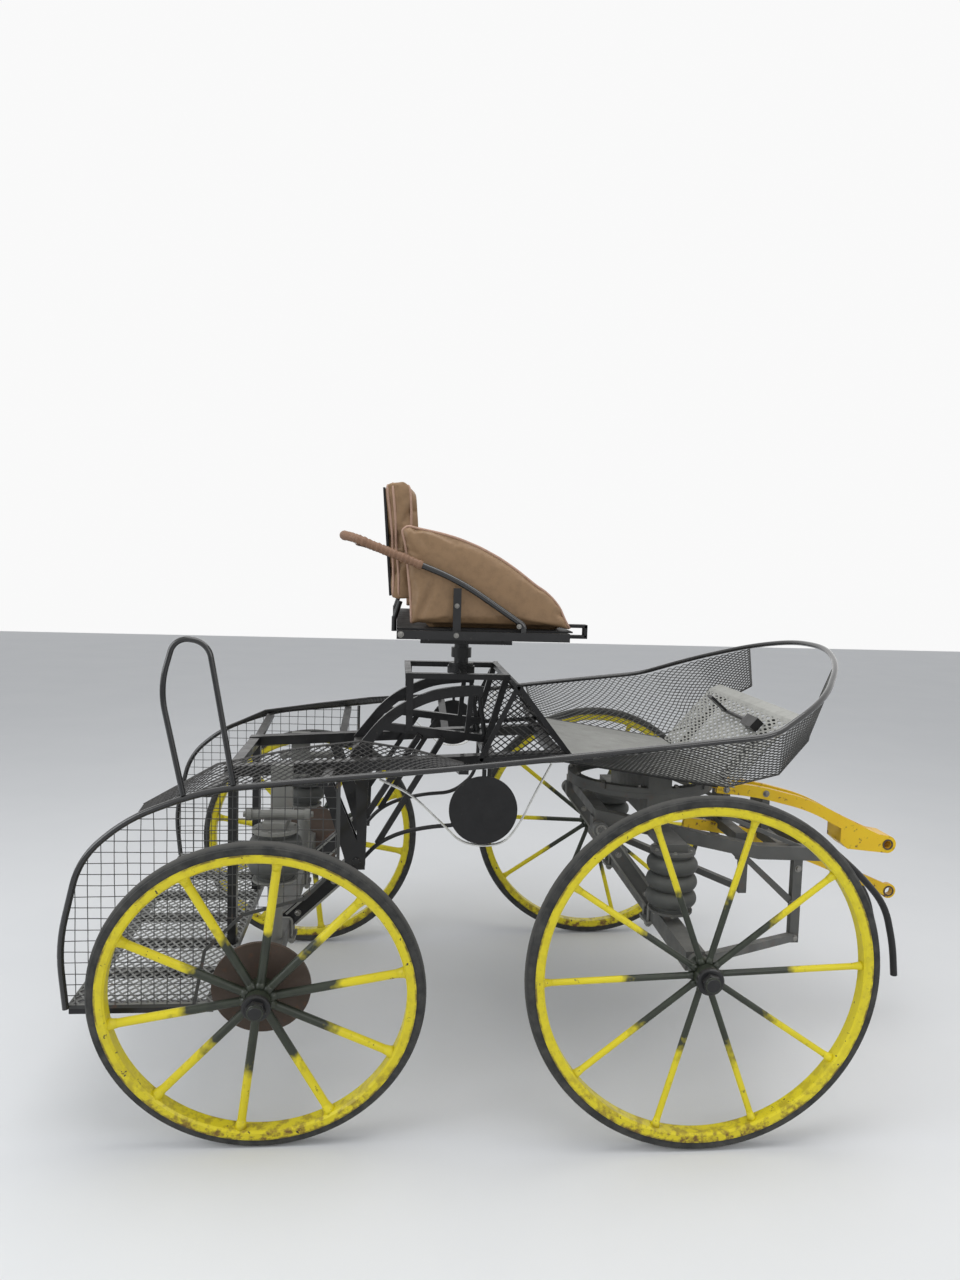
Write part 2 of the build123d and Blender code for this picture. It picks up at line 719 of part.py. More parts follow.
# Cushion, backrest and side panels
with BuildPart() as cushion:
    block(
        (SEAT_REAR_X + 60, -CUSHION_HALF, SEAT_Z + GAP),
        (SEAT_FRONT_X - 8, CUSHION_HALF, SEAT_Z + GAP + CUSHION_THICK),
    )
    fillet(cushion.edges().filter_by(Axis.Z), 24)
    fillet(cushion.faces().sort_by(Axis.Z)[-1].edges(), 20)
write(cushion, "seat_cushion")

with BuildPart() as panels:
    for side, sign in SIDES:
        low_y = -SEAT_PANEL_Y - SEAT_PANEL_THICK if sign < 0 else SEAT_PANEL_Y
        with BuildSketch(Plane.XZ.offset(-low_y)) as face:
            with BuildLine():
                foot = SEAT_Z + GAP
                l1 = Line((SEAT_FRONT_X, foot), (SEAT_REAR_X + 4, foot))
                top = SEAT_Z + PANEL_RISE
                l2 = Line(l1 @ 1, (SEAT_REAR_X - 2, top - 29))
                l3 = ThreePointArc(l2 @ 1, (SEAT_REAR_X + 6, top - 9), (SEAT_REAR_X + 30, top))
                l4 = ThreePointArc(l3 @ 1, (SEAT_REAR_X + 220, top - 50), (SEAT_REAR_X + 358, top - 139))
                l5 = ThreePointArc(l4 @ 1, (SEAT_FRONT_X - 34, top - 184), (SEAT_FRONT_X, foot))
            make_face()
        extrude(face.sketch, amount=-SEAT_PANEL_THICK)
write(panels, "side_panels")

with BuildPart() as back:
    bar(
        (BACK_LOW[0], 0, BACK_LOW[1]),
        (BACK_TOP[0], 0, BACK_TOP[1]),
        2 * BACK_HALF,
        BACK_THICK,
    )
    fillet(back.edges().filter_by(Axis.Y), 14)
write(back, "backrest")

# Arm rails: from the frame up beside the seat, and across behind the back
ARM_Y = SEAT_FRAME_HALF - SEAT_BAR / 2
ARM_REAR_X = -566
ARM_REAR_Z = SEAT_Z + 229
ARM_MIDDLE_Z = SEAT_Z + 124
arm_foot = SEAT_Z - SEAT_PAN_THICK
with BuildPart() as arms:
    for side, sign in SIDES:
        y = sign * ARM_Y
        tube(
            (
                (-108, y, arm_foot),
                (-108, y, arm_foot + 18),
                (-276, y, ARM_MIDDLE_Z),
                (-420, y, ARM_MIDDLE_Z + 54),
                (ARM_REAR_X + 30, y, ARM_REAR_Z - 7),
                (ARM_REAR_X, sign * (ARM_Y - 50), ARM_REAR_Z),
                (ARM_REAR_X, sign * (ARM_Y - 140), ARM_REAR_Z),
            ),
            ARM_RAIL_R,
        )
    reach = ARM_Y - 140 - GAP
    rod((ARM_REAR_X, -reach, ARM_REAR_Z), (ARM_REAR_X, reach, ARM_REAR_Z), ARM_RAIL_R)
write(arms, "arm_rails")

# Flat struts under the arm rails, and rods that carry the backrest
with BuildPart() as seat_rods:
    for side, sign in SIDES:
        y = sign * ARM_Y
        block((-288, y - 4, arm_foot), (-268, y + 4, ARM_MIDDLE_Z - 20))
        y = sign * 300
        rod_x = SEAT_REAR_X - 7 - GAP
        rod((rod_x, y, frame_low + 4), (rod_x, y, 1296), 7)
        rod((rod_x, y, 1290), (BACK_LOW[0] - 12, y, BACK_LOW[1] - 4), 7)
write(seat_rods, "seat_rods")

# Riser, floor and toe board
with BuildPart() as riser:
    slab(RISER_TOP, (FLOOR_REAR[0] + 1.4, FLOOR_REAR[1] + 1.8), RISER_HALF, SHEET)
    for side, sign in SIDES:
        low_y = -RISER_HALF - GAP - SHEET if sign < 0 else RISER_HALF + GAP
        outline = (RISER_TOP, (FLOOR_REAR[0], FLOOR_REAR[1] + 4), (-190, beam_z(-190) + BEAM_HEIGHT / 2 + GAP))
        side_plate(outline, low_y, SHEET)
write(riser, "riser")

with BuildPart() as floor:
    slab(FLOOR_REAR, FLOOR_LOW, FLOOR_HALF, SHEET)
write(floor, "floor_plate")

with BuildPart() as toe:
    slab((FLOOR_LOW[0] + 3, FLOOR_LOW[1] + 1), TOE_TOP, TOE_HALF, SHEET)
    slab((TOE_TOP[0] - 1, TOE_TOP[1] - 1), (TOE_TOP[0] + 32, TOE_TOP[1] + 12), TOE_HALF, SHEET)
write(toe, "toe_board")

# Braces from the beams' front ends up behind the toe board
toe_run = Vector(TOE_TOP[0] - FLOOR_LOW[0] - 3, 0, TOE_TOP[1] - FLOOR_LOW[1] - 1).normalized()
toe_down = Vector(toe_run.Z, 0, -toe_run.X)


def behind_toe(along, depth):
    spot = Vector(FLOOR_LOW[0] + 3, 0, FLOOR_LOW[1] + 1) + toe_run * along + toe_down * depth
    return (spot.X, spot.Z)


beam_end = BEAM_FRONT[0] + GAP
with BuildPart() as braces:
    near = SHEET + GAP
    outline = (
        (beam_end, BEAM_FRONT[1] - 14),
        behind_toe(-12, 24),
        behind_toe(236, 20),
        behind_toe(236, near),
        behind_toe(8, near),
        (beam_end, BEAM_FRONT[1] + 4),
    )
    for side, sign in SIDES:
        side_plate(outline, sign * BEAM_Y - 6, 12)
write(braces, "toe_braces")

# Basket sides: from the rail's underside in to the floor's edge.
# x, half width and z of the upper edge, then x, half width and z of the lower edge
BASKET_TABLE = (
    (70, 630, 981.3, 64, 360, 913),
    (240, 632, 1001.3, 290, 362, 878),
    (401, 632, 1019.8, 500, 362, 846),
    (540, 610, 1040, 640, 376, 886),
    (690, 508, 1106, 730, 350, 975),
    (812, 306, 1174, 800, 240, 1052),
)
# Openings in each bay of the basket, along it and up it, and the bar left between them
BASKET_GRID = ((2, 4), (2, 4), (2, 4), (2, 4), (2, 4))
BASKET_BAR = 8
BASKET_CUT = 6


def basket_station(bay, share, sign, low_share, high_share):
    # Corners of a cutter's section, a share of the way through a bay, between two heights on its sheet
    corners = []
    for up, side_shift in ((high_share, 1), (low_share, 1), (low_share, -1), (high_share, -1)):
        ends = []
        for top_x, top_y, top_z, low_x, low_y, low_z in BASKET_TABLE[bay : bay + 2]:
            low_end = Vector(low_x, sign * low_y, low_z)
            ends.append(low_end + (Vector(top_x, sign * top_y, top_z) - low_end) * up)
        spot = ends[0] + (ends[1] - ends[0]) * share
        corners.append((spot.X + 0.4 * side_shift * BASKET_CUT, spot.Y + sign * side_shift * BASKET_CUT, spot.Z))
    return corners


def basket_opening(bay, column, row, sign):
    # One opening of the grid, cut straight through the sheet
    columns, rows = BASKET_GRID[bay]
    top_x, top_y, top_z, low_x, low_y, low_z = BASKET_TABLE[bay]
    height = (Vector(top_x, top_y, top_z) - Vector(low_x, low_y, low_z)).length
    length = (Vector(*BASKET_TABLE[bay + 1][:3]) - Vector(top_x, top_y, top_z)).length
    side_bar = BASKET_BAR / 2 / length
    row_bar = BASKET_BAR / 2 / height
    limits = (row / rows + row_bar, (row + 1) / rows - row_bar)
    shares = (column / columns + side_bar, (column + 1) / columns - side_bar)
    faces = []
    for share in shares:
        corners = basket_station(bay, share, sign, *limits)
        faces.append(Face(Wire.make_polygon([Vector(*corner) for corner in corners])))
    return Solid.make_loft([face.outer_wire() for face in faces], ruled=True)


with BuildPart() as basket:
    for side, sign in SIDES:
        stations = []
        for top_x, top_y, top_z, low_x, low_y, low_z in BASKET_TABLE:
            stations.append(
                (
                    (top_x, sign * (top_y + 1), top_z),
                    (low_x, sign * (low_y + 1), low_z),
                    (low_x - 1, sign * (low_y - 1.5), low_z),
                    (top_x - 1, sign * (top_y - 1.5), top_z),
                )
            )
        skin(stations)
        openings = []
        for bay, (columns, rows) in enumerate(BASKET_GRID):
            for column in range(columns):
                for row in range(rows):
                    openings.append(basket_opening(bay, column, row, sign))
        add(openings, mode=Mode.SUBTRACT)
write(basket, "basket_sides")

# Side discs and the bright strips that dip under them
DISC_X = -208
DISC_Z = 845
DISC_R = 84
DISC_THICK = 8
STRIP_THICK = 3
STRIP_WIDTH = 14
STRIP_POINTS = (
    (-462, 916),
    (-385, 882),
    (-306, 808),
    (-262, 764),
    (-208, 755),
    (-154, 764),
    (-118, 813),
    (-88, 880),
    (-45, 965),
)
disc_y, disc_rail_z = rail_at(DISC_X)
with BuildPart() as discs:
    for side, sign in SIDES:
        rod(
            (DISC_X, sign * disc_y - DISC_THICK / 2, DISC_Z),
            (DISC_X, sign * disc_y + DISC_THICK / 2, DISC_Z),
            DISC_R,
        )
        low = (DISC_X - 5, sign * disc_y - 3, DISC_Z + DISC_R - 2)
        high = (DISC_X + 5, sign * disc_y + 3, disc_rail_z - RAIL_R - 1)
        block(low, high)
write(discs, "side_discs")

with BuildPart() as strips:
    for side, sign in SIDES:
        points = [(x, sign * rail_at(x)[0], z) for x, z in STRIP_POINTS]
        with BuildLine() as path:
            FilletPolyline(*points, radius=corner_radii(points))
        first = Plane(origin=path.line @ 0, x_dir=(0, 1, 0), z_dir=path.line % 0)
        with BuildSketch(first) as section:
            Rectangle(STRIP_WIDTH, STRIP_THICK)
        sweep(section.sketch, path=path.line)
write(strips, "disc_strips")

# Turntable: the upper ring and its bolster belong to the body, the lower ring to the fore-carriage.
upper_low = RING_TOP_Z + RING_GAP
with BuildPart() as upper:
    with BuildSketch(Plane.XY.offset(upper_low)) as ring:
        with Locations((FRONT_AXLE_X, 0)):
            Circle(RING_R)
            Circle(RING_R - RING_BAR, mode=Mode.SUBTRACT)
            Rectangle(BOLSTER_WIDTH, 2 * RING_R - RING_BAR)
    extrude(amount=RING_THICK)
    left_x = FRONT_AXLE_X - BOLSTER_WIDTH / 2
    right_x = FRONT_AXLE_X + BOLSTER_WIDTH / 2
    ring_top = upper_low + RING_THICK
    top = [(x, beam_z(x) - BEAM_HEIGHT / 2 - GAP) for x in (right_x, left_x)]
    side_plate([(left_x, ring_top - 1), (right_x, ring_top - 1)] + top, -BEAM_Y - 15, 2 * BEAM_Y + 30)
    with BuildSketch(Plane.XY.offset(upper_low)):
        with Locations((FRONT_AXLE_X, 0)):
            Circle(KING_PIN_R + SPINDLE_CLEARANCE)
    extrude(amount=60, mode=Mode.SUBTRACT)
write(upper, "turntable_upper")

pin_top = beam_z(right_x) - BEAM_HEIGHT / 2 - 6
bolster_low = fore_beam_z(left_x) + FORE_BEAM_SIZE / 2 + GAP
with BuildPart() as lower:
    with BuildSketch(Plane.XY.offset(RING_TOP_Z - RING_THICK)) as ring:
        with Locations((FRONT_AXLE_X, 0)):
            Circle(RING_R)
            Circle(RING_R - RING_BAR, mode=Mode.SUBTRACT)
            Rectangle(BOLSTER_WIDTH, 2 * RING_R - RING_BAR)
    extrude(amount=RING_THICK)
    block(
        (left_x, -FORE_BEAM_Y - 20, bolster_low),
        (right_x, FORE_BEAM_Y + 20, RING_TOP_Z - RING_THICK + 1),
    )
    rod((FRONT_AXLE_X, 0, RING_TOP_Z - RING_THICK), (FRONT_AXLE_X, 0, pin_top), KING_PIN_R)
write(lower, "turntable_lower")

# Fore-carriage beams with their cross bars
BRACE_TOP_X = 408
BRACE_FOOT_X = 770
BRACE_THICK = 12
with BuildPart() as fore_beams:
    size = FORE_BEAM_SIZE / 2
    for side, sign in SIDES:
        low_edge = [(x, z - size) for x, z in FORE_BEAM_LINE]
        top_edge = [(x, z + size) for x, z in FORE_BEAM_LINE]
        side_plate(low_edge + top_edge[::-1], sign * FORE_BEAM_Y - size, 2 * size)
        ring_low = RING_TOP_Z - RING_THICK - GAP
        brace = [(BRACE_TOP_X, ring_low), (BRACE_TOP_X + 34, ring_low)]
        brace += [(x, fore_beam_z(x) + size - 1) for x in (BRACE_FOOT_X + 34, BRACE_FOOT_X)]
        side_plate(brace, sign * FORE_BEAM_Y - BRACE_THICK / 2, BRACE_THICK)
        lug = ((FORE_PIVOT[0] - 18, fore_beam_z(FORE_PIVOT[0])), (FORE_PIVOT[0] + 18, fore_beam_z(FORE_PIVOT[0])))
        side_plate(lug + ((FORE_PIVOT[0] + 16, 676), (FORE_PIVOT[0] - 16, 676)), sign * FORE_BEAM_Y - size, 2 * size)
        inner = (FORE_PIVOT[0], sign * FORE_BEAM_Y, FORE_PIVOT[1])
        far = (FORE_PIVOT[0], sign * (FORE_ARM_Y + ARM_WIDTH / 2 + 10), FORE_PIVOT[1])
        rod(inner, far, PIVOT_R)
write(fore_beams, "fore_beams")

# Struts below the fore-carriage's nose, each with a diagonal and a link back to the axle's outer end
LINK_Z = 345
LINK_AXLE_Y = 560
LINK_SIZE = 22
STRUT_X = 788
STRUT_HALF = 14
DIAGONAL_X = 600
DIAGONAL_FOOT = 440
with BuildPart() as nose:
    for side, sign in SIDES:
        y = sign * FORE_BEAM_Y
        rear_x = STRUT_X - STRUT_HALF
        front_x = STRUT_X + STRUT_HALF
        strut = [(x, fore_beam_z(x) - size - GAP) for x in (rear_x, front_x)]
        side_plate(strut + [(front_x, LINK_Z - STRUT_HALF), (rear_x, LINK_Z - STRUT_HALF)], y - 12, 24)
        diagonal = [(x, fore_beam_z(x) - size - GAP) for x in (DIAGONAL_X, DIAGONAL_X + 32)]
        diagonal += [(rear_x + 4, DIAGONAL_FOOT + 28), (rear_x + 4, DIAGONAL_FOOT)]
        side_plate(diagonal, y - 9, 18)
        axle_face = FRONT_AXLE_X + AXLE_SIZE / 2 + LINK_SIZE / 2 + GAP
        bar((axle_face, sign * LINK_AXLE_Y, front_axle_z - 8), (STRUT_X, y, LINK_Z), LINK_SIZE, LINK_SIZE)
write(nose, "nose_struts")

# Yellow pole fork: two curved arms that join in a block with a cross hole
FORK_HALF = 37
FORK_POINTS = ((590, 764), (720, 752), (900, 708), (1030, 640), (1166, 580))
FORK_EYE = FORK_POINTS[-1]
FORK_DEPTH = 36
FORK_JAW = ((1006, 640), (1006, 588), (1032, 566), (1160, 552.7), (1172, 607.3), (1060, 626))
FORK_JAW_R = 28
FORK_POST_TOP = 745
FORK_EYE_R = 24
PIN_HOLE_R = 12.5
# Lower bracket with the front eye
LOWER_POINTS = ((500, 640), (660, 618), (900, 540), (1201, 412))
LOWER_EYE = LOWER_POINTS[-1]
LOWER_DEPTH = 34
LOWER_HALF = 9


def flat_run(points, y_low, thick, depth, mode=Mode.ADD):
    # Upright flat bar that follows a bent line of x, z points
    with BuildSketch(Plane.XZ.offset(-y_low)) as face:
        with BuildLine() as centre:
            FilletPolyline(*points, radius=corner_radii(points))
        trace(centre.line, depth)
    extrude(face.sketch, amount=-thick, mode=mode)


with BuildPart() as fork:
    for side, sign in SIDES:
        flat_run(FORK_POINTS, sign * FORK_HALF - 9, 18, FORK_DEPTH)
    rod((FORK_EYE[0], -FORK_HALF - 9, FORK_EYE[1]), (FORK_EYE[0], FORK_HALF + 9, FORK_EYE[1]), FORK_JAW_R)
    side_plate(FORK_JAW, -FORK_HALF - 9, 2 * FORK_HALF + 18)
    rod(
        (FORK_EYE[0], -FORK_HALF - 20, FORK_EYE[1]),
        (FORK_EYE[0], FORK_HALF + 20, FORK_EYE[1]),
        PIN_HOLE_R,
        mode=Mode.SUBTRACT,
    )
write(fork, "pole_fork")

with BuildPart() as lower_bracket:
    flat_run(LOWER_POINTS, -LOWER_HALF, 2 * LOWER_HALF, LOWER_DEPTH)
    rod((LOWER_EYE[0], -LOWER_HALF, LOWER_EYE[1]), (LOWER_EYE[0], LOWER_HALF, LOWER_EYE[1]), FORK_EYE_R)
    rod((LOWER_EYE[0], -20, LOWER_EYE[1]), (LOWER_EYE[0], 20, LOWER_EYE[1]), PIN_HOLE_R, mode=Mode.SUBTRACT)
write(lower_bracket, "lower_bracket")

# Cross bars between the fore beams; two carry the fork above them and the bracket below.
# x, lift above the beams' centre line, and z to which a post goes down
FORE_CROSSES = (
    (190, 0, None),
    (620, 24, 624),
    (750, 6, 588),
    (842, 0, None),
)
with BuildPart() as fore_crosses:
    reach = FORE_BEAM_Y - size - GAP
    for x, lift, foot_z in FORE_CROSSES:
        z = fore_beam_z(x) + lift
        block((x - 18, -reach, z - 15), (x + 18, reach, z + 15))
        if foot_z:
            block((x - 12, -FORK_HALF - 12, z), (x + 12, FORK_HALF + 12, FORK_POST_TOP))
            block((x - 12, -LOWER_HALF - 4, foot_z), (x + 12, LOWER_HALF + 4, z))
    span = 2 * FORK_HALF + 40
    flat_run(FORK_POINTS, -span / 2, span, FORK_DEPTH + 2 * GAP, mode=Mode.SUBTRACT)
    flat_run(LOWER_POINTS, -30, 60, LOWER_DEPTH + 2 * GAP, mode=Mode.SUBTRACT)
write(fore_crosses, "fore_crosses")

# Two curved guard tubes below the pole, from the front cross bar
GUARD_TUBE_Y = 60
GUARD_TUBE_R = 11
GUARD_TUBE_POINTS = ((860 + GAP, 603), (930, 603), (1072, 484), (1163, 385), (1198, 250), (1209, 150))
with BuildPart() as guard_tube:
    for side, sign in SIDES:
        tube([(x, sign * GUARD_TUBE_Y, z) for x, z in GUARD_TUBE_POINTS], GUARD_TUBE_R)
write(guard_tube, "guard_tube")

# Brake pedal on the toe board: a base, a cross shaft and the foot plate at its end
PEDAL_ALONG = 186


def toe_box(along, across, height):
    # Box on the toe board from pairs of distances up the board, across it and off its face
    spot_x, spot_z = behind_toe((along[0] + along[1]) / 2, -height[0])
    middle = (spot_x, (across[0] + across[1]) / 2, spot_z)
    with BuildSketch(Plane(origin=middle, x_dir=(0, 1, 0), z_dir=-toe_down)) as base:
        Rectangle(across[1] - across[0], along[1] - along[0])
    extrude(base.sketch, amount=height[1] - height[0])


with BuildPart() as pedal:
    toe_box((PEDAL_ALONG - 18, PEDAL_ALONG + 18), (-205, -125), (GAP, 26))
    shaft_x, shaft_z = behind_toe(PEDAL_ALONG, -16)
    rod((shaft_x, -130, shaft_z), (shaft_x, 74, shaft_z), 6)
    toe_box((PEDAL_ALONG - 4, PEDAL_ALONG + 4), (30, 74), (12, 86))
write(pedal, "brake_pedal")
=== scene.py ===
from math import ceil, cos, exp, pi, radians, sin
import bpy
from mathutils import Matrix, Vector, noise
from mathutils.bvhtree import BVHTree


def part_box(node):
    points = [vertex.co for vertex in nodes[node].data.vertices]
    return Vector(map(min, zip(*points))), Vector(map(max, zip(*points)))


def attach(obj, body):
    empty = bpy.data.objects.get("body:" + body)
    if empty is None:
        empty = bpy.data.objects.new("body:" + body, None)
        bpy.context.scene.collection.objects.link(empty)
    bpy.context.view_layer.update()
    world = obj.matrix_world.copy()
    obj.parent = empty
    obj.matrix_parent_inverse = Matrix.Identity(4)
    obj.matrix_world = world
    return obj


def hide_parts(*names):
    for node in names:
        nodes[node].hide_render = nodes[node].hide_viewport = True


# Metres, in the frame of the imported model: +X forward, +Y to the carriage's left, +Z up.
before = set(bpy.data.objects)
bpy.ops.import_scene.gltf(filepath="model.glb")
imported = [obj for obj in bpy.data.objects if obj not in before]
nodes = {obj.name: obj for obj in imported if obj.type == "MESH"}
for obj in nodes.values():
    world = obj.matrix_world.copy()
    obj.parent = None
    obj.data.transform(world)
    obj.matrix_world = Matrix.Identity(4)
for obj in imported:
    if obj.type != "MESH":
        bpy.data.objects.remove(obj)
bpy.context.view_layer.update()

# Signs of Y: the carriage's right, then its left
SIDES = (-1, 1)
UP = Vector((0, 0, 1))

# Camera: place, and the directions of the picture's right and into the picture
CAMERA_PLACE = Vector((-0.428, -2.755, 1.444))
PICTURE_RIGHT = Vector((0.9954, -0.0902, 0.0293))
PICTURE_IN = Vector((0.0924, 0.9921, -0.084))
FOCAL_PIXELS = 900
PICTURE_HEIGHT = 1280
SENSOR = 36

# Wheels: name, sign of Y, centre, radius, camber in degrees, spoke radius, first spoke angle
REAR_CENTRE = (-0.737, 0.650, 0.3972)
FRONT_CENTRE = (0.349, 0.668, 0.450)
WHEELS = (
    ("rear_right", -1, REAR_CENTRE, 0.400, 7, 0.0105, 82.4),
    ("rear_left", 1, REAR_CENTRE, 0.400, 7, 0.0105, 82.4),
    ("front_right", -1, FRONT_CENTRE, 0.450, 0, 0.008, 74.4),
    ("front_left", 1, FRONT_CENTRE, 0.450, 0, 0.008, 74.4),
)
SPOKES = 10
TYRE_DEPTH = 0.024
RIM_DEPTH = 0.023
HUB_R = 0.030
HUB_HALF = 0.042
HUB_CAP_END = 0.064
# Turned pieces of a wheel: distance from their base and radius, a ferrule's in spoke radii
RIM_FERRULE = ((-0.022, 1), (-0.006, 1.25), (0.003, 1.7))
HUB_FERRULE = ((-0.003, 1.5), (0.006, 1.2), (0.016, 1))
HUB_COLLAR = ((-0.006, 0.034), (0.002, 0.034), (0.004, 0.030))
HUB_NUT = ((0.004, 0.0235), (0.013, 0.0235), (0.014, 0.021))
HUB_CAP = ((-0.004, 0.020), (0.001, 0.016), (0.002, 0.004))

# Right side rail: x, half width, z of the bends
RAIL_POINTS = (
    (-1.206, 0.580, 0.342),
    (-1.222, 0.580, 0.500),
    (-1.172, 0.580, 0.715),
    (-1.060, 0.580, 0.812),
    (-0.880, 0.580, 0.882),
    (-0.637, 0.582, 0.907),
    (-0.257, 0.605, 0.949),
    (0.097, 0.632, 0.994),
    (0.401, 0.632, 1.029),
)
RAIL_R = 0.008
# Lower edge of a wing: x, z
WING_EDGE = (
    (-1.206, 0.342),
    (-0.905, 0.342),
    (-0.880, 0.480),
    (-0.790, 0.570),
    (-0.640, 0.610),
    (-0.560, 0.690),
    (-0.560, 0.909),
)
WING_Y = 0.5705
# Guard strip: x, width, rise of the inner edge
GUARD_TABLE = (
    (-1.040, 0.060, 0.008),
    (-0.880, 0.150, 0.028),
    (-0.690, 0.190, 0.042),
    (-0.520, 0.200, 0.046),
    (-0.380, 0.120, 0.028),
    (-0.257, 0.020, 0.004),
)
GUARD_LIFT = 0.001
# Basket: upper edge x, half width, z and lower edge x, half width, z
BASKET_TABLE = (
    (0.070, 0.630, 0.9813, 0.064, 0.360, 0.913),
    (0.240, 0.632, 1.0013, 0.290, 0.362, 0.878),
    (0.401, 0.632, 1.0198, 0.500, 0.362, 0.846),
    (0.540, 0.610, 1.040, 0.640, 0.376, 0.886),
    (0.690, 0.508, 1.106, 0.730, 0.350, 0.975),
    (0.812, 0.306, 1.174, 0.800, 0.240, 1.052),
)
RISER_TOP = Vector((-0.088, 0, 1.110))
RISER_FOOT = Vector((0.0634, 0, 0.9164))
RISER_HALF = 0.300
RISER_EDGE = 0.004
CHEEK_LOW = Vector((-0.190, 0, 0.899))
CHEEK_EDGE = 0.007
CHEEK_HALF_THICK = 0.0015
TOE_FOOT = Vector((0.527, 0, 0.8443))
TOE_TOP = Vector((0.690, 0, 1.030))
TOE_HALF = 0.336
TOE_LIP = 0.012
TOE_THICK = 0.0022
TOE_FLANGE = Vector((0.033, 0, 0.013))
TREAD_Z = 0.3465

# Turntable, springs and swing arms
FRONT_X = 0.349
REAR_X = -0.737
RING_R = 0.226
RING_BAR = 0.026
RING_TOP = 0.8044
RING_BOLTS = 12
# Clamp plate at the ring: reach below and above its top, half width, half thickness, gap
CLAMP_BELOW = 0.014
CLAMP_ABOVE = 0.003
CLAMP_HALF_WIDTH = 0.016
CLAMP_HALF_THICK = 0.003
CLAMP_GAP = 0.0025
SPRING_Y = 0.372
# Springs: x, top of the lower plate, underside of the upper plate, body
SPRINGS = (
    (REAR_X, 0.596, 0.722, "carriage"),
    (FRONT_X, 0.505, 0.665, "fore_carriage"),
)
SEAT_PLATE_R = 0.061
SEAT_PLATE_BOLTS = 6
BOLT_INSET = 0.0075
UPPER_PLATE = 0.008
LOWER_PLATE = 0.0065
# Cross tube over a rear spring: rise over the upper plate, its ends, radius and end collar
TUBE_RISE = 0.044
TUBE_ENDS = (-0.075, 0.088)
TUBE_R = 0.012
TUBE_COLLAR = ((-0.012, 0.017), (0.001, 0.017))
# Swing arms: pivot and axle as x, z, half width of the pair, body
SWING_ARMS = (
    ((-0.528, 0.590), (-0.737, 0.397), 0.215, "carriage"),
    ((0.172, 0.690), (0.349, 0.450), 0.245, "fore_carriage"),
)
ARM_HALF_WIDTH = 0.015
ARM_HALF_HEIGHT = 0.022
# Raised flange of an arm: distance from the pivot and from the axle, half height and thickness
FLANGE_START = 0.026
FLANGE_STOP = 0.036
FLANGE_HALF = (0.0028, 0.002)
ARM_BOLT_SHARES = (0.30, 0.78)
# Axle clamps: name, x and z of the axle, half width of the pair, body
AXLE_CLAMPS = (
    ("rear", REAR_X, 0.397, 0.215, "carriage"),
    ("front", FRONT_X, 0.450, 0.245, "fore_carriage"),
)
# U-bolt of an axle clamp: x and z of its bends from the axle, radius and offset in a pair
U_BOLT = ((0.030, -0.034), (0.030, 0.030), (-0.030, 0.030), (-0.030, -0.034))
U_BOLT_R = 0.0042
U_BOLT_OFFSET = 0.024
CLAMP_PLATE_DROP = 0.029
CLAMP_PLATE_HALF = (0.040, 0.034, 0.0035)

# Fork and strut bolts, and the two eyes: x, half width, z
NOSE_BOLTS = (
    (0.620, 0.0465, 0.757),
    (0.750, 0.0465, 0.745),
    (0.788, 0.2175, 0.345),
    (0.788, 0.2175, 0.560),
    (0.775, 0.2175, 0.452),
)
EYES = ((1.166, 0.046, 0.580), (1.201, 0.009, 0.412))
EYE_BUSH = ((-0.003, 0.0128), (0.002, 0.0128), (0.002, 0.0175), (-0.003, 0.0175))

# Right arm rail: x, half width, z of the bends
ARM_POINTS = (
    (-0.108, 0.501, 1.274),
    (-0.108, 0.501, 1.292),
    (-0.276, 0.501, 1.402),
    (-0.420, 0.501, 1.456),
    (-0.536, 0.501, 1.500),
    (-0.566, 0.451, 1.507),
    (-0.566, 0.361, 1.507),
)


def rounded(points, share=0.45, steps=8):
    """Points along a bent line whose corners are arcs as large as their runs allow."""
    spots = [Vector(point) for point in points]
    path = [spots[0]]
    for before, corner, after in zip(spots, spots[1:], spots[2:]):
        reach = share * min((corner - before).length, (after - corner).length)
        start = corner + (before - corner).normalized() * reach
        end = corner + (after - corner).normalized() * reach
        for step in range(steps + 1):
            t = step / steps
            path.append(start * (1 - t) ** 2 + corner * 2 * t * (1 - t) + end * t**2)
    path.append(spots[-1])
    return path


def densely(path, step):
    """The same line with points no further apart than the step."""
    fine = []
    for a, b in zip(path, path[1:]):
        count = max(1, ceil((b - a).length / step))
        fine += [a.lerp(b, k / count) for k in range(count)]
    return fine + [path[-1]]


def rail_at(x):
    """Half width and height of the side rails at an x."""
    for (x0, y0, z0), (x1, y1, z1) in zip(RAIL_POINTS[2:], RAIL_POINTS[3:]):
        if x0 <= x <= x1:
            t = (x - x0) / (x1 - x0)
            return y0 + t * (y1 - y0), z0 + t * (z1 - z0)
    return RAIL_POINTS[-1][1:]


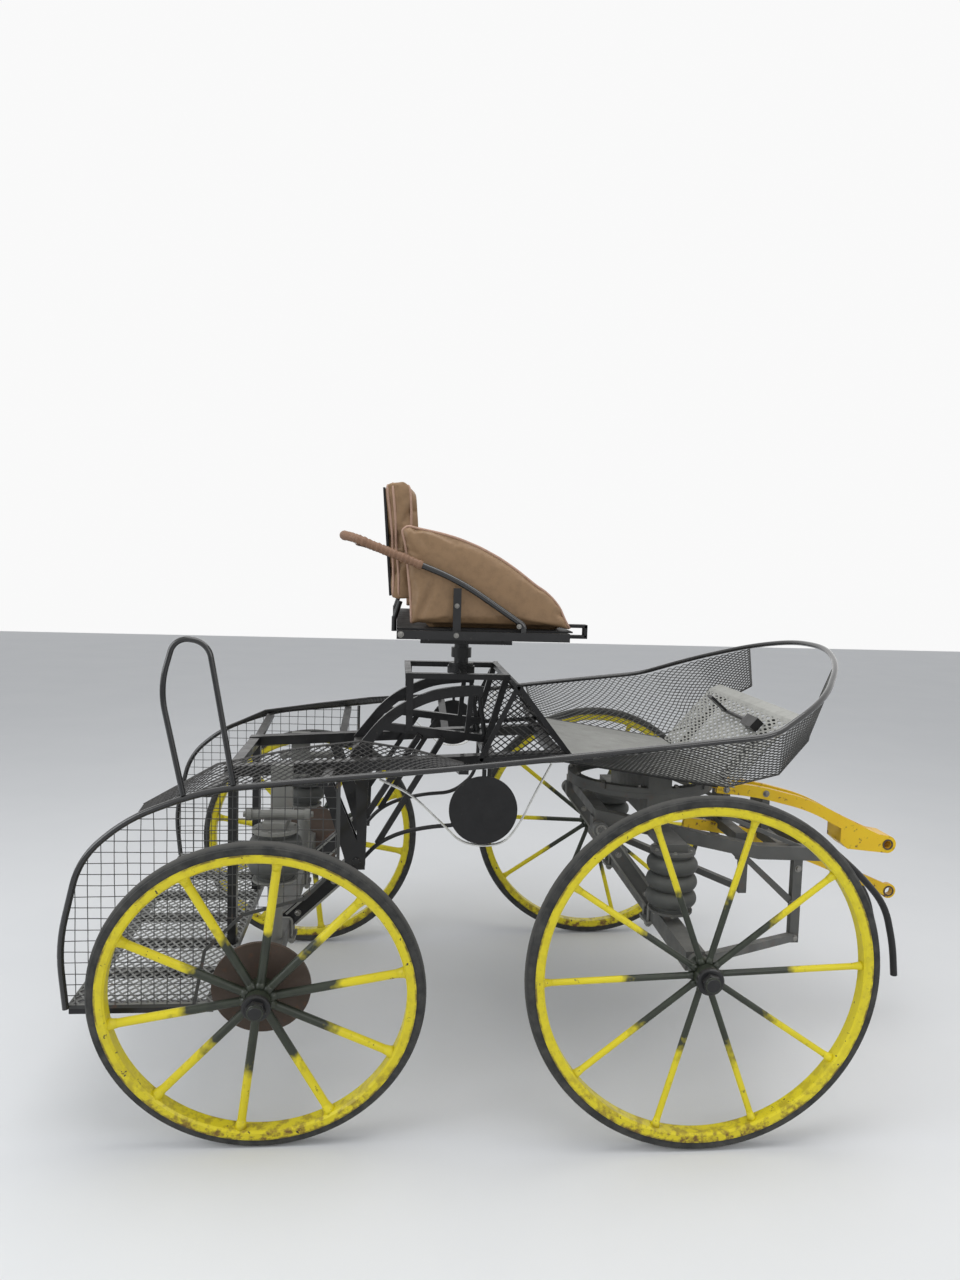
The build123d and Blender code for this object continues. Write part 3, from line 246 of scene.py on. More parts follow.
class Shader:
    """One procedural material, built in the order it is read."""

    def __init__(self, name, metallic=0.0, coat=0.0, coat_roughness=0.1, specular=0.5):
        self.material = bpy.data.materials.new(name)
        self.material.use_nodes = True
        self.tree = self.material.node_tree
        self.surface = self.tree.nodes["Principled BSDF"]
        self.surface.inputs["Metallic"].default_value = metallic
        self.surface.inputs["Coat Weight"].default_value = coat
        self.surface.inputs["Coat Roughness"].default_value = coat_roughness
        self.surface.inputs["Specular IOR Level"].default_value = specular
        self.place = self.tree.nodes.new("ShaderNodeTexCoord").outputs["Object"]

    def node(self, kind, **settings):
        made = self.tree.nodes.new(kind)
        for name, value in settings.items():
            setattr(made, name, value)
        return made

    def feed(self, sockets, values):
        for socket, value in zip(sockets, values):
            if isinstance(value, bpy.types.NodeSocket):
                self.tree.links.new(value, socket)
            elif isinstance(value, tuple) and socket.type == "RGBA":
                socket.default_value = (*value, 1)
            else:
                socket.default_value = value

    def noise(self, scale, detail=4.0, stretch=None, rough=0.6):
        made = self.node("ShaderNodeTexNoise")
        place = self.place
        if stretch:
            mapping = self.node("ShaderNodeMapping")
            self.feed((mapping.inputs["Vector"], mapping.inputs["Scale"]), (self.place, stretch))
            place = mapping.outputs[0]
        sockets = [made.inputs[name] for name in ("Vector", "Scale", "Detail", "Roughness")]
        self.feed(sockets, (place, scale, detail, rough))
        return made.outputs[0]

    def cells(self, scale):
        made = self.node("ShaderNodeTexVoronoi", feature="F1")
        self.feed((made.inputs["Vector"], made.inputs["Scale"]), (self.place, scale))
        return made.outputs["Distance"]

    def span(self, value, low, high, to_low=0.0, to_high=1.0):
        made = self.node("ShaderNodeMapRange")
        names = ("Value", "From Min", "From Max", "To Min", "To Max")
        self.feed([made.inputs[name] for name in names], (value, low, high, to_low, to_high))
        return made.outputs[0]

    def sums(self, kind, first, second=0.0):
        made = self.node("ShaderNodeMath", operation=kind)
        self.feed(made.inputs, (first, second))
        return made.outputs[0]

    def times(self, first, second):
        return self.sums("MULTIPLY", first, second)

    def axis(self, letter):
        split = self.node("ShaderNodeSeparateXYZ")
        self.tree.links.new(self.place, split.inputs[0])
        return split.outputs[letter]

    def upward(self):
        split = self.node("ShaderNodeSeparateXYZ")
        self.tree.links.new(self.node("ShaderNodeNewGeometry").outputs["Normal"], split.inputs[0])
        return split.outputs["Z"]

    def distance(self, spot):
        made = self.node("ShaderNodeVectorMath", operation="DISTANCE")
        self.feed(made.inputs[:2], (self.place, spot))
        return made.outputs["Value"]

    def mix(self, share, first, second):
        made = self.node("ShaderNodeMix", data_type="RGBA")
        self.feed((made.inputs["Factor"], made.inputs[6], made.inputs[7]), (share, first, second))
        return made.outputs[2]

    def groove(self, value, middle, half):
        """1 where the value is the middle one, falling to 0 at a half width either side."""
        off = self.sums("ABSOLUTE", self.sums("SUBTRACT", value, middle))
        return self.span(off, 0.0, half, 1.0, 0.0)

    def colour(self, value):
        self.tree.links.new(value, self.surface.inputs["Base Color"])

    def roughness(self, value, low, high):
        """Roughness between two values, spread over the middle of a noise"""
        spread = self.span(value, 0.3, 0.7, low, high)
        self.tree.links.new(spread, self.surface.inputs["Roughness"])

    def bump(self, height, strength, distance):
        made = self.node("ShaderNodeBump")
        before = self.surface.inputs["Normal"].links
        if before:
            self.tree.links.new(before[0].from_socket, made.inputs["Normal"])
        sockets = [made.inputs[name] for name in ("Height", "Strength", "Distance")]
        self.feed(sockets, (height, strength, distance))
        self.tree.links.new(made.outputs[0], self.surface.inputs["Normal"])


def black_paint(name, dust=0.3, base=0.007, coat=0.25, rough=(0.3, 0.5)):
    """Gloss black paint with a film of dust where it faces up."""
    mat = Shader(name, coat=coat, coat_roughness=0.08, specular=0.25)
    settled = mat.times(mat.span(mat.upward(), 0.1, 1.0), mat.noise(9))
    settled = mat.times(settled, dust)
    tone = mat.mix(mat.noise(35), (base, base, 1.1 * base), (2.5 * base, 2.5 * base, 2.6 * base))
    rubbed = mat.span(mat.noise(60, 6), 0.66, 0.72, 0, 0.5)
    tone = mat.mix(rubbed, tone, (0.07, 0.06, 0.05))
    mat.colour(mat.mix(settled, tone, (0.15, 0.14, 0.125)))
    mat.roughness(mat.noise(22), *rough)
    mat.bump(mat.noise(160, 2), 0.12, 0.0008)
    return mat.material


def dusty_steel(name, base, dust, rust=0.25):
    """Old grey paint on steel, dusty on top and rusty in patches."""
    mat = Shader(name, specular=0.35)
    tone = mat.mix(mat.noise(14), base, tuple(1.9 * c for c in base))
    settled = mat.span(mat.upward(), -0.2, 1.0, 0.15, 0.75)
    tone = mat.mix(mat.times(settled, mat.noise(11)), tone, dust)
    spots = mat.times(mat.span(mat.noise(26, 6), 0.58, 0.72), rust)
    mat.colour(mat.mix(spots, tone, (0.16, 0.07, 0.035)))
    mat.roughness(mat.noise(18), 0.45, 0.75)
    mat.bump(mat.noise(120, 4), 0.3, 0.001)
    return mat.material


def wheel_paint(name, centre, wheel_r, dark_r):
    """Yellow rim and spokes that turn black towards the hub, with rust low on the rim."""
    mat = Shader(name, coat=0.2, coat_roughness=0.2, specular=0.3)
    radius = mat.distance(centre)
    streaks = mat.noise(30, 5)
    yellow = mat.mix(mat.noise(7, 5), (0.58, 0.47, 0.008), (0.80, 0.69, 0.022))
    yellow = mat.mix(mat.span(mat.noise(75, 4), 0.6, 0.8, 0, 0.6), yellow, (0.22, 0.17, 0.02))
    edge = mat.sums("ADD", radius, mat.span(mat.noise(17, 3), 0.25, 0.75, -0.045, 0.045))
    dark = mat.mix(streaks, (0.008, 0.009, 0.008), (0.045, 0.055, 0.035))
    tone = mat.mix(mat.span(edge, dark_r - 0.022, dark_r + 0.022), dark, yellow)
    low = mat.span(mat.axis("Z"), 0.02, 0.25, 1, 0.12)
    outer = mat.span(radius, wheel_r - 0.058, wheel_r - 0.04)
    rusty = mat.times(mat.span(mat.noise(42, 6), 0.46, 0.6), low)
    tone = mat.mix(mat.times(rusty, outer), tone, (0.13, 0.055, 0.022))
    rubbed = mat.groove(radius, wheel_r - TYRE_DEPTH - 0.001, 0.004)
    rubbed = mat.times(rubbed, mat.span(mat.noise(33, 5), 0.4, 0.6))
    tone = mat.mix(rubbed, tone, (0.10, 0.055, 0.02))
    chips = mat.span(mat.noise(58, 6), 0.655, 0.68)
    chips = mat.times(chips, mat.span(radius, 0.22, 0.26))
    tone = mat.mix(chips, tone, (0.05, 0.035, 0.02))
    mat.colour(tone)
    mat.roughness(streaks, 0.32, 0.55)
    mat.bump(mat.noise(90, 5), 0.25, 0.0012)
    return mat.material


def tyre_rubber(name, centre, wheel_r):
    """Solid rubber tyre: mould lines on its side and a dusty tread"""
    mat = Shader(name, specular=0.3)
    radius = mat.distance(centre)
    tone = mat.mix(mat.noise(9, 5), (0.014, 0.015, 0.015), (0.036, 0.037, 0.036))
    dusty = mat.times(mat.span(mat.noise(34, 5), 0.35, 0.7), 0.4)
    dusty = mat.sums("MAXIMUM", dusty, mat.span(radius, wheel_r - 0.005, wheel_r + 0.002, 0, 0.8))
    mat.colour(mat.mix(dusty, tone, (0.115, 0.11, 0.10)))
    mat.roughness(mat.noise(20), 0.6, 0.85)
    for depth in (0.006, 0.0205):
        mat.bump(mat.groove(radius, wheel_r - depth, 0.0012), 0.8, -0.0015)
    mat.bump(mat.noise(210, 3), 0.35, 0.0009)
    return mat.material


def leather(name, base, dark, grain=420):
    """Grained leather, darker where it is handled"""
    mat = Shader(name, specular=0.35)
    tone = mat.mix(mat.noise(4.5, 4), base, dark)
    handled = mat.span(mat.noise(55, 5), 0.45, 0.7, 0, 0.3)
    tone = mat.mix(handled, tone, tuple(0.6 * c for c in dark))
    mat.colour(tone)
    mat.roughness(mat.noise(30), 0.42, 0.62)
    mat.bump(mat.noise(11, 3, (1.0, 1.0, 0.6)), 0.35, 0.006)
    mat.bump(mat.cells(grain), 0.35, 0.0006)
    return mat.material


def plain_metal(name, base, rough=(0.25, 0.45), metallic=1.0, dirt=(0.12, 0.11, 0.10), amount=0.35):
    mat = Shader(name, metallic=metallic)
    spots = mat.span(mat.noise(28, 6), 0.5, 0.75, 0, amount)
    tone = mat.mix(mat.noise(12), base, tuple(0.8 * c for c in base))
    mat.colour(mat.mix(spots, tone, dirt))
    mat.roughness(mat.noise(40, stretch=(1, 6, 6)), *rough)
    mat.bump(mat.noise(240, 2), 0.15, 0.0005)
    return mat.material


def tread_plate(name):
    """Scuffed plate with a fine raised diamond pattern"""
    mat = Shader(name, metallic=0.35, specular=0.4)
    tone = mat.mix(mat.noise(9, 5), (0.17, 0.17, 0.155), (0.30, 0.30, 0.28))
    waves = []
    for sign in (-1, 1):
        x, y = mat.axis("X"), mat.axis("Y")
        lean = mat.sums("ADD", x, mat.times(y, 0.55 * sign))
        waves.append(mat.sums("SINE", mat.times(lean, 520)))
    diamonds = mat.times(waves[0], waves[1])
    mat.colour(mat.mix(mat.span(diamonds, 0.1, 0.6, 0, 0.45), tone, (0.42, 0.42, 0.40)))
    mat.roughness(mat.noise(25), 0.45, 0.65)
    mat.bump(diamonds, 0.5, 0.0012)
    return mat.material


def yellow_pole(name):
    mat = Shader(name, coat=0.2, coat_roughness=0.2, specular=0.3)
    tone = mat.mix(mat.noise(8, 5), (0.74, 0.42, 0.008), (0.80, 0.58, 0.012))
    tone = mat.mix(mat.span(mat.upward(), 0.3, 0.9, 0, 0.6), tone, (0.62, 0.33, 0.05))
    chips = mat.span(mat.noise(46, 6), 0.60, 0.68)
    mat.colour(mat.mix(chips, tone, (0.14, 0.06, 0.02)))
    mat.roughness(mat.noise(25), 0.35, 0.55)
    mat.bump(mat.noise(90, 4), 0.3, 0.001)
    return mat.material


PAINT = {
    "black": black_paint("gloss_black"),
    "rail": black_paint("rail_black", dust=0.1, coat=0.8, rough=(0.2, 0.32)),
    "mesh": black_paint("mesh_black", dust=0.5, base=0.010, coat=0.05),
    "basket_mesh": dusty_steel("basket_mesh", (0.020, 0.020, 0.020), (0.19, 0.19, 0.175), 0.1),
    "light_mesh": dusty_steel("dusty_mesh", (0.10, 0.10, 0.095), (0.33, 0.33, 0.31), 0.1),
    "wire": dusty_steel("wire_grey", (0.030, 0.031, 0.031), (0.12, 0.115, 0.11), 0.5),
    "grey": dusty_steel("dusty_grey", (0.050, 0.051, 0.050), (0.25, 0.245, 0.225)),
    "cast": dusty_steel("light_casting", (0.13, 0.13, 0.12), (0.34, 0.335, 0.31), 0.15),
    "spring": dusty_steel("dusty_rubber", (0.036, 0.038, 0.037), (0.18, 0.18, 0.165), 0.0),
    "rust": dusty_steel("rusty_iron", (0.050, 0.035, 0.027), (0.11, 0.085, 0.068), 0.6),
    "leather": leather("tan_leather", (0.265, 0.166, 0.088), (0.205, 0.124, 0.064)),
    "piping": leather("pink_piping", (0.42, 0.27, 0.20), (0.34, 0.21, 0.15)),
    "wrap": leather("brown_wrap", (0.15, 0.075, 0.042), (0.27, 0.16, 0.10)),
    "plate": plain_metal("worn_plate", (0.44, 0.44, 0.41), (0.45, 0.65), 0.4),
    "tread": tread_plate("tread_plate"),
    "bright": plain_metal("bright_strip", (0.72, 0.72, 0.69), (0.2, 0.35)),
    "bolt": plain_metal("bolt_steel", (0.27, 0.265, 0.25), (0.35, 0.55), amount=0.6),
    "pole": yellow_pole("pole_yellow"),
    "board": black_paint("seat_board", dust=0.2, coat=0.0, rough=(0.5, 0.7)),
}
NODE_PAINT = {
    "rail": ("side_rails", "rail_bow", "grab_hoop", "arm_rails"),
    "grey": (
        "rear_axle", "front_axle", "fore_spring_seats", "fore_arms", "fore_beams", "fore_crosses",
        "nose_struts", "turntable_lower", "turntable_upper",
    ),
    "cast": ("rear_spring_seats",),
    "spring": ("rear_springs", "fore_springs"),
    "rust": ("brake_disc_rear_right", "brake_disc_rear_left"),
    "bright": ("disc_strips",),
    "plate": ("toe_board", "stand_tread"),
    "tread": ("floor_plate",),
    "pole": ("pole_fork", "lower_bracket"),
    "board": ("seat_pan", "side_discs"),
    "leather": ("seat_cushion", "backrest", "side_panels"),
}


def paint(node, material):
    node.data.materials.clear()
    node.data.materials.append(material)


for node in nodes.values():
    paint(node, PAINT["black"])
for colour, names in NODE_PAINT.items():
    for name in names:
        paint(nodes[name], PAINT[colour])
wheel_paints = {}
for name, sign, centre, wheel_r, *_ in WHEELS:
    place = (centre[0], sign * centre[1], centre[2])
    wheel_paints[name] = wheel_paint(f"wheel_paint_{name}", place, wheel_r, 0.47 * wheel_r)
    paint(nodes[f"wheel_{name}"], wheel_paints[name])
    paint(nodes[f"tyre_{name}"], tyre_rubber(f"tyre_rubber_{name}", place, wheel_r))


def added(name, data):
    made = bpy.data.objects.new(name, data)
    bpy.context.collection.objects.link(made)
    return made


def circle(middle, across, other, radius, sides):
    angles = [2 * pi * step / sides for step in range(sides)]
    return [middle + (across * cos(angle) + other * sin(angle)) * radius for angle in angles]


class Pile:
    """Many small solids gathered in one mesh"""

    def __init__(self):
        self.points = []
        self.faces = []

    def bar(self, start, end, side, lift):
        """Four-sided bar; side and lift reach from its middle line to its faces."""
        base = len(self.points)
        for spot in (start, end):
            for a, b in ((-1, -1), (1, -1), (1, 1), (-1, 1)):
                self.points.append(spot + side * a + lift * b)
        for k in range(4):
            self.faces.append((base + k, base + (k + 1) % 4, base + 4 + (k + 1) % 4, base + 4 + k))
        self.faces.append((base + 3, base + 2, base + 1, base))
        self.faces.append((base + 4, base + 5, base + 6, base + 7))

    def rings(self, rows, sides, closed=False):
        """Skin over rows of points; the ends are capped, or joined where the rows form a loop."""
        base = len(self.points)
        for row in rows:
            self.points += row
        count = len(rows)
        for ring in range(count if closed else count - 1):
            near = base + ring * sides
            far = base + (ring + 1) % count * sides
            for step in range(sides):
                turn = (step + 1) % sides
                self.faces.append((near + step, near + turn, far + turn, far + step))
        if not closed:
            last = base + (count - 1) * sides
            self.faces.append(tuple(base + step for step in reversed(range(sides))))
            self.faces.append(tuple(last + step for step in range(sides)))

    def tube(self, path, radius, sides=8):
        """Round bar along a path; radius is a number, or a function of the share of its length."""
        across = None
        rows = []
        for k, spot in enumerate(path):
            along = (path[min(k + 1, len(path) - 1)] - path[max(k - 1, 0)]).normalized()
            if across is None:
                across = along.orthogonal()
            across = (across - along * across.dot(along)).normalized()
            size = radius(k / (len(path) - 1)) if callable(radius) else radius
            rows.append(circle(spot, across, along.cross(across), size, sides))
        self.rings(rows, sides)

    def lathe(self, place, along, profile, sides=16, closed=False):
        """Turned solid from pairs of distance along its axis and radius."""
        along = along.normalized()
        across = along.orthogonal().normalized()
        other = along.cross(across)
        rows = []
        for reach, radius in profile:
            rows.append(circle(place + along * reach, across, other, radius, sides))
        self.rings(rows, sides, closed)

    def bolt(self, place, along, radius=0.007, head=0.005):
        """Six-sided head on a washer"""
        self.lathe(place, along, ((0, radius * 1.5), (0.0015, radius * 1.5)), 12)
        self.lathe(place, along, ((0.001, radius), (head, radius), (head + 0.001, radius * 0.8)), 6)

    def piece(self, name, material, body, smooth=False, replaced=()):
        mesh = bpy.data.meshes.new(name)
        mesh.from_pydata([tuple(point) for point in self.points], [], self.faces)
        mesh.materials.append(material)
        if smooth:
            mesh.shade_smooth()
        mesh.update()
        made = added(name, mesh)
        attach(made, body)
        if replaced:
            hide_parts(*replaced)
        return made


def crossings(outline, axis, value):
    """Spans of a closed 2-D outline along a line where the axis has that value."""
    other = 1 - axis
    hits = []
    for a, b in zip(outline, outline[1:] + outline[:1]):
        if (a[axis] - value) * (b[axis] - value) < 0:
            t = (value - a[axis]) / (b[axis] - a[axis])
            hits.append(a[other] + t * (b[other] - a[other]))
    hits.sort()
    return list(zip(hits[::2], hits[1::2]))


def strips(pile, spots, thick, wide):
    """Flat bars along spots in a plane across Y; thick and wide are half sizes."""
    for start, end in zip(spots, spots[1:]):
        lift = (end - start).normalized().cross(Vector((0, 1, 0))) * wide
        pile.bar(start, end, Vector((0, thick, 0)), lift)


# Square wire mesh of the rear wings, a little uneven as on the real one
WIRE_PITCH = (0.031, 0.0275)
WIRE_R = 0.0011
WIRE_SWAY = 0.0022
WIRE_STEP = 0.06
WING_STRIP = (0.0022, 0.004)
rail_run = [(x, 0, z) for x, y, z in RAIL_POINTS[:6]]
rail_run[-1] = (WING_EDGE[-1][0], 0, WING_EDGE[-1][1])
top_edge = [(spot.x, spot.z) for spot in rounded(rail_run)]
low_edge = list(reversed(WING_EDGE))
outline = top_edge + low_edge[1:-1]
pile = Pile()
for sign in SIDES:
    y = sign * WING_Y
    for axis in (0, 1):
        low = min(spot[axis] for spot in outline)
        high = max(spot[axis] for spot in outline)
        for k in range(1, int((high - low) / WIRE_PITCH[axis]) + 1):
            value = low + k * WIRE_PITCH[axis]
            shift = WIRE_R if axis else -WIRE_R
            for start, end in crossings(outline, axis, value):
                count = max(2, int((end - start) / WIRE_STEP))
                path = []
                for step in range(count + 1):
                    spot = start + (end - start) * step / count
                    sway = WIRE_SWAY * noise.noise(Vector((value * 30, spot * 9, sign + 3 * axis)))
                    if axis:
                        path.append(Vector((spot, y + shift, value + sway)))
                    else:
                        path.append(Vector((value + sway, y + shift, spot)))
                pile.tube(path, WIRE_R, 5)
    strips(pile, [Vector((x, y, z)) for x, z in WING_EDGE], *WING_STRIP)
pile.piece("wing_wires", PAINT["wire"], "carriage", replaced=("wings",))


def expanded(pile, stations, cell=(0.024, 0.0175), strand=(0.0016, 0.0007), inside=None):
    """Diamond mesh over the ribbon through stations; inside(u, v) says where it is kept."""
    surface, length, height = ribbon(stations)
    count_u = max(2, round(length / cell[0]))
    count_v = max(2, 2 * round(height / cell[1]))

    def knot(i, j):
        u = (i + (0.5 if j % 2 else 0)) / count_u
        return min(max(u, 0), 1), j / count_v

    for j in range(count_v):
        for i in range(-1, count_u + 1):
            for step in (0, 1):
                near = knot(i, j)
                far = knot(i + step if j % 2 else i - 1 + step, j + 1)
                if inside and not (inside(*near) and inside(*far)):
                    continue
                a = surface(*near)
                b = surface(*far)
                if (b - a).length < 0.002 or near[0] == far[0]:
                    continue
                under = surface(near[0], max(near[1] - 0.01, 0))
                rise = surface(near[0], min(near[1] + 0.01, 1)) - under
                along = (b - a).normalized()
                out = rise.cross(along)
                if out.length < 1e-9:
                    continue
                out.normalize()
                twist = (out * 0.6 + out.cross(along)).normalized()
                pile.bar(a, b, twist * strand[0], twist.cross(along) * strand[1])


def ribbon(stations):
    """Surface through stations, each a pair of ends; u runs along them by length, v across."""
    middles = [(a + b) / 2 for a, b in stations]
    reach = [0.0]
    for before, after in zip(middles, middles[1:]):
        reach.append(reach[-1] + (after - before).length)
    total = reach[-1]

    def surface(u, v):
        spot = u * total
        for k in range(len(reach) - 1):
            if spot <= reach[k + 1] or k == len(reach) - 2:
                t = (spot - reach[k]) / (reach[k + 1] - reach[k])
                start = stations[k][0].lerp(stations[k + 1][0], t)
                end = stations[k][1].lerp(stations[k + 1][1], t)
                return start.lerp(end, v)

    width = sum((a - b).length for a, b in stations) / len(stations)
    return surface, total, width


def border(pile, spots, size=0.0022):
    for start, end in zip(spots, spots[1:]):
        along = (end - start).normalized()
        side = along.orthogonal().normalized()
        pile.bar(start, end, side * size, along.cross(side) * size)


# Guard strips and basket sides of expanded metal
pile = Pile()
for sign in SIDES:
    stations = []
    for x, width, rise in GUARD_TABLE:
        half, z = rail_at(x)
        outer = half - RAIL_R
        inner_end = Vector((x, sign * (outer - width), z + rise + GUARD_LIFT))
        stations.append((Vector((x, sign * outer, z + GUARD_LIFT)), inner_end))
    expanded(pile, stations)
    border(pile, [end for start, end in stations])
    border(pile, [start for start, end in stations])
pile.piece("guard_lattice", PAINT["mesh"], "carriage", replaced=("guard_strips",))

pile = Pile()
for sign in SIDES:
    stations = []
    for top_x, top_y, top_z, low_x, low_y, low_z in BASKET_TABLE:
        stations.append((Vector((low_x, sign * low_y, low_z)), Vector((top_x, sign * top_y, top_z))))
    expanded(pile, stations)
    border(pile, [start for start, end in stations])
    border(pile, list(stations[-1]))
    border(pile, list(stations[0]))
pile.piece("basket_lattice", PAINT["basket_mesh"], "carriage", replaced=("basket_sides",))

# Riser and its cheeks
pile = Pile()
across = Vector((0, RISER_HALF, 0))
ends = [(RISER_FOOT + across * sign, RISER_TOP + across * sign) for sign in SIDES]
expanded(pile, ends)
for spot in (RISER_TOP, RISER_FOOT):
    pile.bar(spot - across, spot + across, Vector((RISER_EDGE, 0, 0)), UP * RISER_EDGE)
cheek = [RISER_TOP, RISER_FOOT, CHEEK_LOW]
low_x, high_x = CHEEK_LOW.x, RISER_FOOT.x
low_z, high_z = CHEEK_LOW.z, RISER_TOP.z


def in_cheek(u, v):
    """Whether a spot of the cheek's box lies inside its triangle."""
    spot = Vector((low_x + u * (high_x - low_x), 0, low_z + v * (high_z - low_z)))
    for a, b in zip(cheek, cheek[1:] + cheek[:1]):
        if (b - a).cross(spot - a).y < -1e-6:
            return False
    return True


for sign in SIDES:
    shift = Vector((0, sign * (RISER_HALF + CHEEK_HALF_THICK), 0))
    ends = [(Vector((x, shift.y, low_z)), Vector((x, shift.y, high_z))) for x in (low_x, high_x)]
    expanded(pile, ends, inside=in_cheek)
    corners = [corner + shift for corner in cheek + cheek[:1]]
    strips(pile, corners, CHEEK_HALF_THICK, CHEEK_EDGE)
pile.piece("riser_lattice", PAINT["mesh"], "carriage", replaced=("riser",))

# Expanded metal tread of the groom's stand
low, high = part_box("stand_tread")
pile = Pile()
ends = [(Vector((low[0], y, TREAD_Z)), Vector((high[0], y, TREAD_Z))) for y in (low[1], high[1])]
expanded(pile, ends, cell=(0.034, 0.024), strand=(0.0021, 0.0009))
corners = [(low[0], low[1]), (high[0], low[1]), (high[0], high[1]), (low[0], high[1]), (low[0], low[1])]
border(pile, [Vector((x, y, TREAD_Z)) for x, y in corners], 0.0022)
pile.piece("tread_lattice", PAINT["light_mesh"], "carriage", replaced=("stand_tread",))

# Toe board with rows of oval slots, and its plain top flange
SLOT_ROWS = 13
SLOT_COLUMNS = 17
SLOT_HALF = (0.0125, 0.0042)
SLOT_STEPS = 12
run = TOE_TOP - TOE_FOOT
out = Vector((run.z, 0, -run.x)).normalized()
pile = Pile()
pitch_y = 2 * TOE_HALF / SLOT_COLUMNS
pitch_v = (run.length - TOE_LIP) / SLOT_ROWS
below = 2 * SLOT_STEPS
for row in range(SLOT_ROWS):
    for column in range(SLOT_COLUMNS):
        middle_y = -TOE_HALF + (column + 0.5) * pitch_y
        middle = TOE_FOOT + run.normalized() * (row + 0.5) * pitch_v + Vector((0, middle_y, 0))
        base = len(pile.points)
        for depth in (0.0, TOE_THICK):
            for step in range(SLOT_STEPS):
                angle = 2 * pi * (step + 0.5) / SLOT_STEPS
                c, s = cos(angle), sin(angle)
                reach = max(abs(c) / (pitch_y / 2), abs(s) / (pitch_v / 2))
                for a, b in ((c / reach, s / reach), (c * SLOT_HALF[0], s * SLOT_HALF[1])):
                    pile.points.append(middle + Vector((0, a, 0)) + run.normalized() * b + out * depth)
        for step in range(SLOT_STEPS):
            a = base + 2 * step
            b = base + 2 * ((step + 1) % SLOT_STEPS)
            pile.faces.append((a, b, b + 1, a + 1))
            pile.faces.append((a + below + 1, b + below + 1, b + below, a + below))
            pile.faces.append((a + 1, b + 1, b + below + 1, a + below + 1))
half = Vector((0, TOE_HALF, 0))
lip = run.normalized() * (TOE_LIP / 2)
flange = TOE_FLANGE / 2
thick = out * (TOE_THICK / 2)
for spot, reach in ((TOE_TOP - lip, lip), (TOE_TOP + flange, flange)):
    pile.bar(spot - half + thick, spot + half + thick, reach, thick)
pile.piece("slotted_toe_board", PAINT["plate"], "carriage", replaced=("toe_board",))


# Soft seat pieces, blown up as cloth; growth is below 0 because the setting is a shrinkage
CLOTH_GROWTH = -0.025
CLOTH_PRESSURE = 4
CLOTH_FRAMES = 20


def settle(made):
    """Applies every modifier of an object to its mesh."""
    bpy.context.view_layer.update()
    graph = bpy.context.evaluated_depsgraph_get()
    mesh = bpy.data.meshes.new_from_object(made.evaluated_get(graph))
    made.modifiers.clear()
    made.data = mesh


def softened(name, node, voxel, inset, cap, keep, crown=None):
    """A puffed copy of a soft CAD solid: remeshed, blown up as cloth, and held inside keep(point)."""
    made = added(name, nodes[node].data.copy())
    remesh = made.modifiers.new("remesh", "REMESH")
    remesh.mode = "VOXEL"
    remesh.voxel_size = voxel
    settle(made)
    mesh = made.data
    normals = [vertex.normal.copy() for vertex in mesh.vertices]
    for vertex, normal in zip(mesh.vertices, normals):
        vertex.co -= normal * inset
        if crown:
            vertex.co = crown(vertex.co)
    start = [vertex.co.copy() for vertex in mesh.vertices]
    cloth = made.modifiers.new("cloth", "CLOTH")
    cloth.settings.use_pressure = True
    cloth.settings.uniform_pressure_force = CLOTH_PRESSURE
    cloth.settings.effector_weights.gravity = 0
    cloth.settings.shrink_min = CLOTH_GROWTH
    for number in range(1, CLOTH_FRAMES + 1):
        bpy.context.scene.frame_set(number)
    settle(made)
    bpy.context.scene.frame_set(1)
    mesh = made.data
    for vertex, before, normal in zip(mesh.vertices, start, normals):
        move = vertex.co - before
        if move.length > cap:
            move *= cap / move.length
        vertex.co = keep(before + move)
    smooth = made.modifiers.new("finer", "SUBSURF")
    smooth.levels = smooth.render_levels = 1
    settle(made)
    made.data.shade_smooth()
    made.data.materials.clear()
    made.data.materials.append(PAINT["leather"])
    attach(made, "carriage")
    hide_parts(node)
    return made


def inside(low, high, slack):
    """Holds a point in a box that is larger by the slack."""
    def keep(point):
        return Vector([min(max(c, a - s), b + s) for c, a, b, s in zip(point, low, high, slack)])
    return keep


def crease(made, lines):
    """Presses or raises soft lines: start, end, width, depth (raised below 0) and side of Y."""
    normals = [vertex.normal.copy() for vertex in made.data.vertices]
    for vertex, normal in zip(made.data.vertices, normals):
        place = vertex.co.copy()
        for start, end, width, depth, sign in lines:
            if place.y * sign < 0:
                continue
            run = end - start
            spot = Vector((place.x, start.y, place.z)) - start
            t = min(max(spot.dot(run) / run.length_squared, 0), 1)
            off = (spot - run * t).length
            if off < 3 * width:
                fade = sin(pi * (0.08 + 0.84 * t))
                place -= normal * depth * fade * exp(-((off / width) ** 2))
        vertex.co = place
    made.data.update()


PANEL_LOW, PANEL_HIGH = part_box("side_panels")
PANEL_MIDDLE = 0.465
# Outline of a side panel's curved front and top, and of its whole edge
PANEL_ARC = ((0.022, 1.278), (-0.012, 1.360), (-0.070, 1.405), (-0.208, 1.494), (-0.398, 1.544))
PANEL_EDGE = (
    (0.018, 1.280), (0.006, 1.318), (-0.012, 1.360), (-0.037, 1.384),
    (-0.070, 1.405), (-0.135, 1.455), (-0.208, 1.494), (-0.290, 1.525),
    (-0.398, 1.544), (-0.422, 1.535), (-0.430, 1.515), (-0.402, 1.281),
)
# Thickness of a panel at its outline and what it gains inwards, as shares, and over what reach
PANEL_SWELL = (0.55, 0.45)
PANEL_FADE = 0.085
# Tuck of the rear foot, and where along x it starts and over what run it grows
PANEL_TUCK = 0.026
TUCK_START = -0.20
TUCK_RUN = 0.23


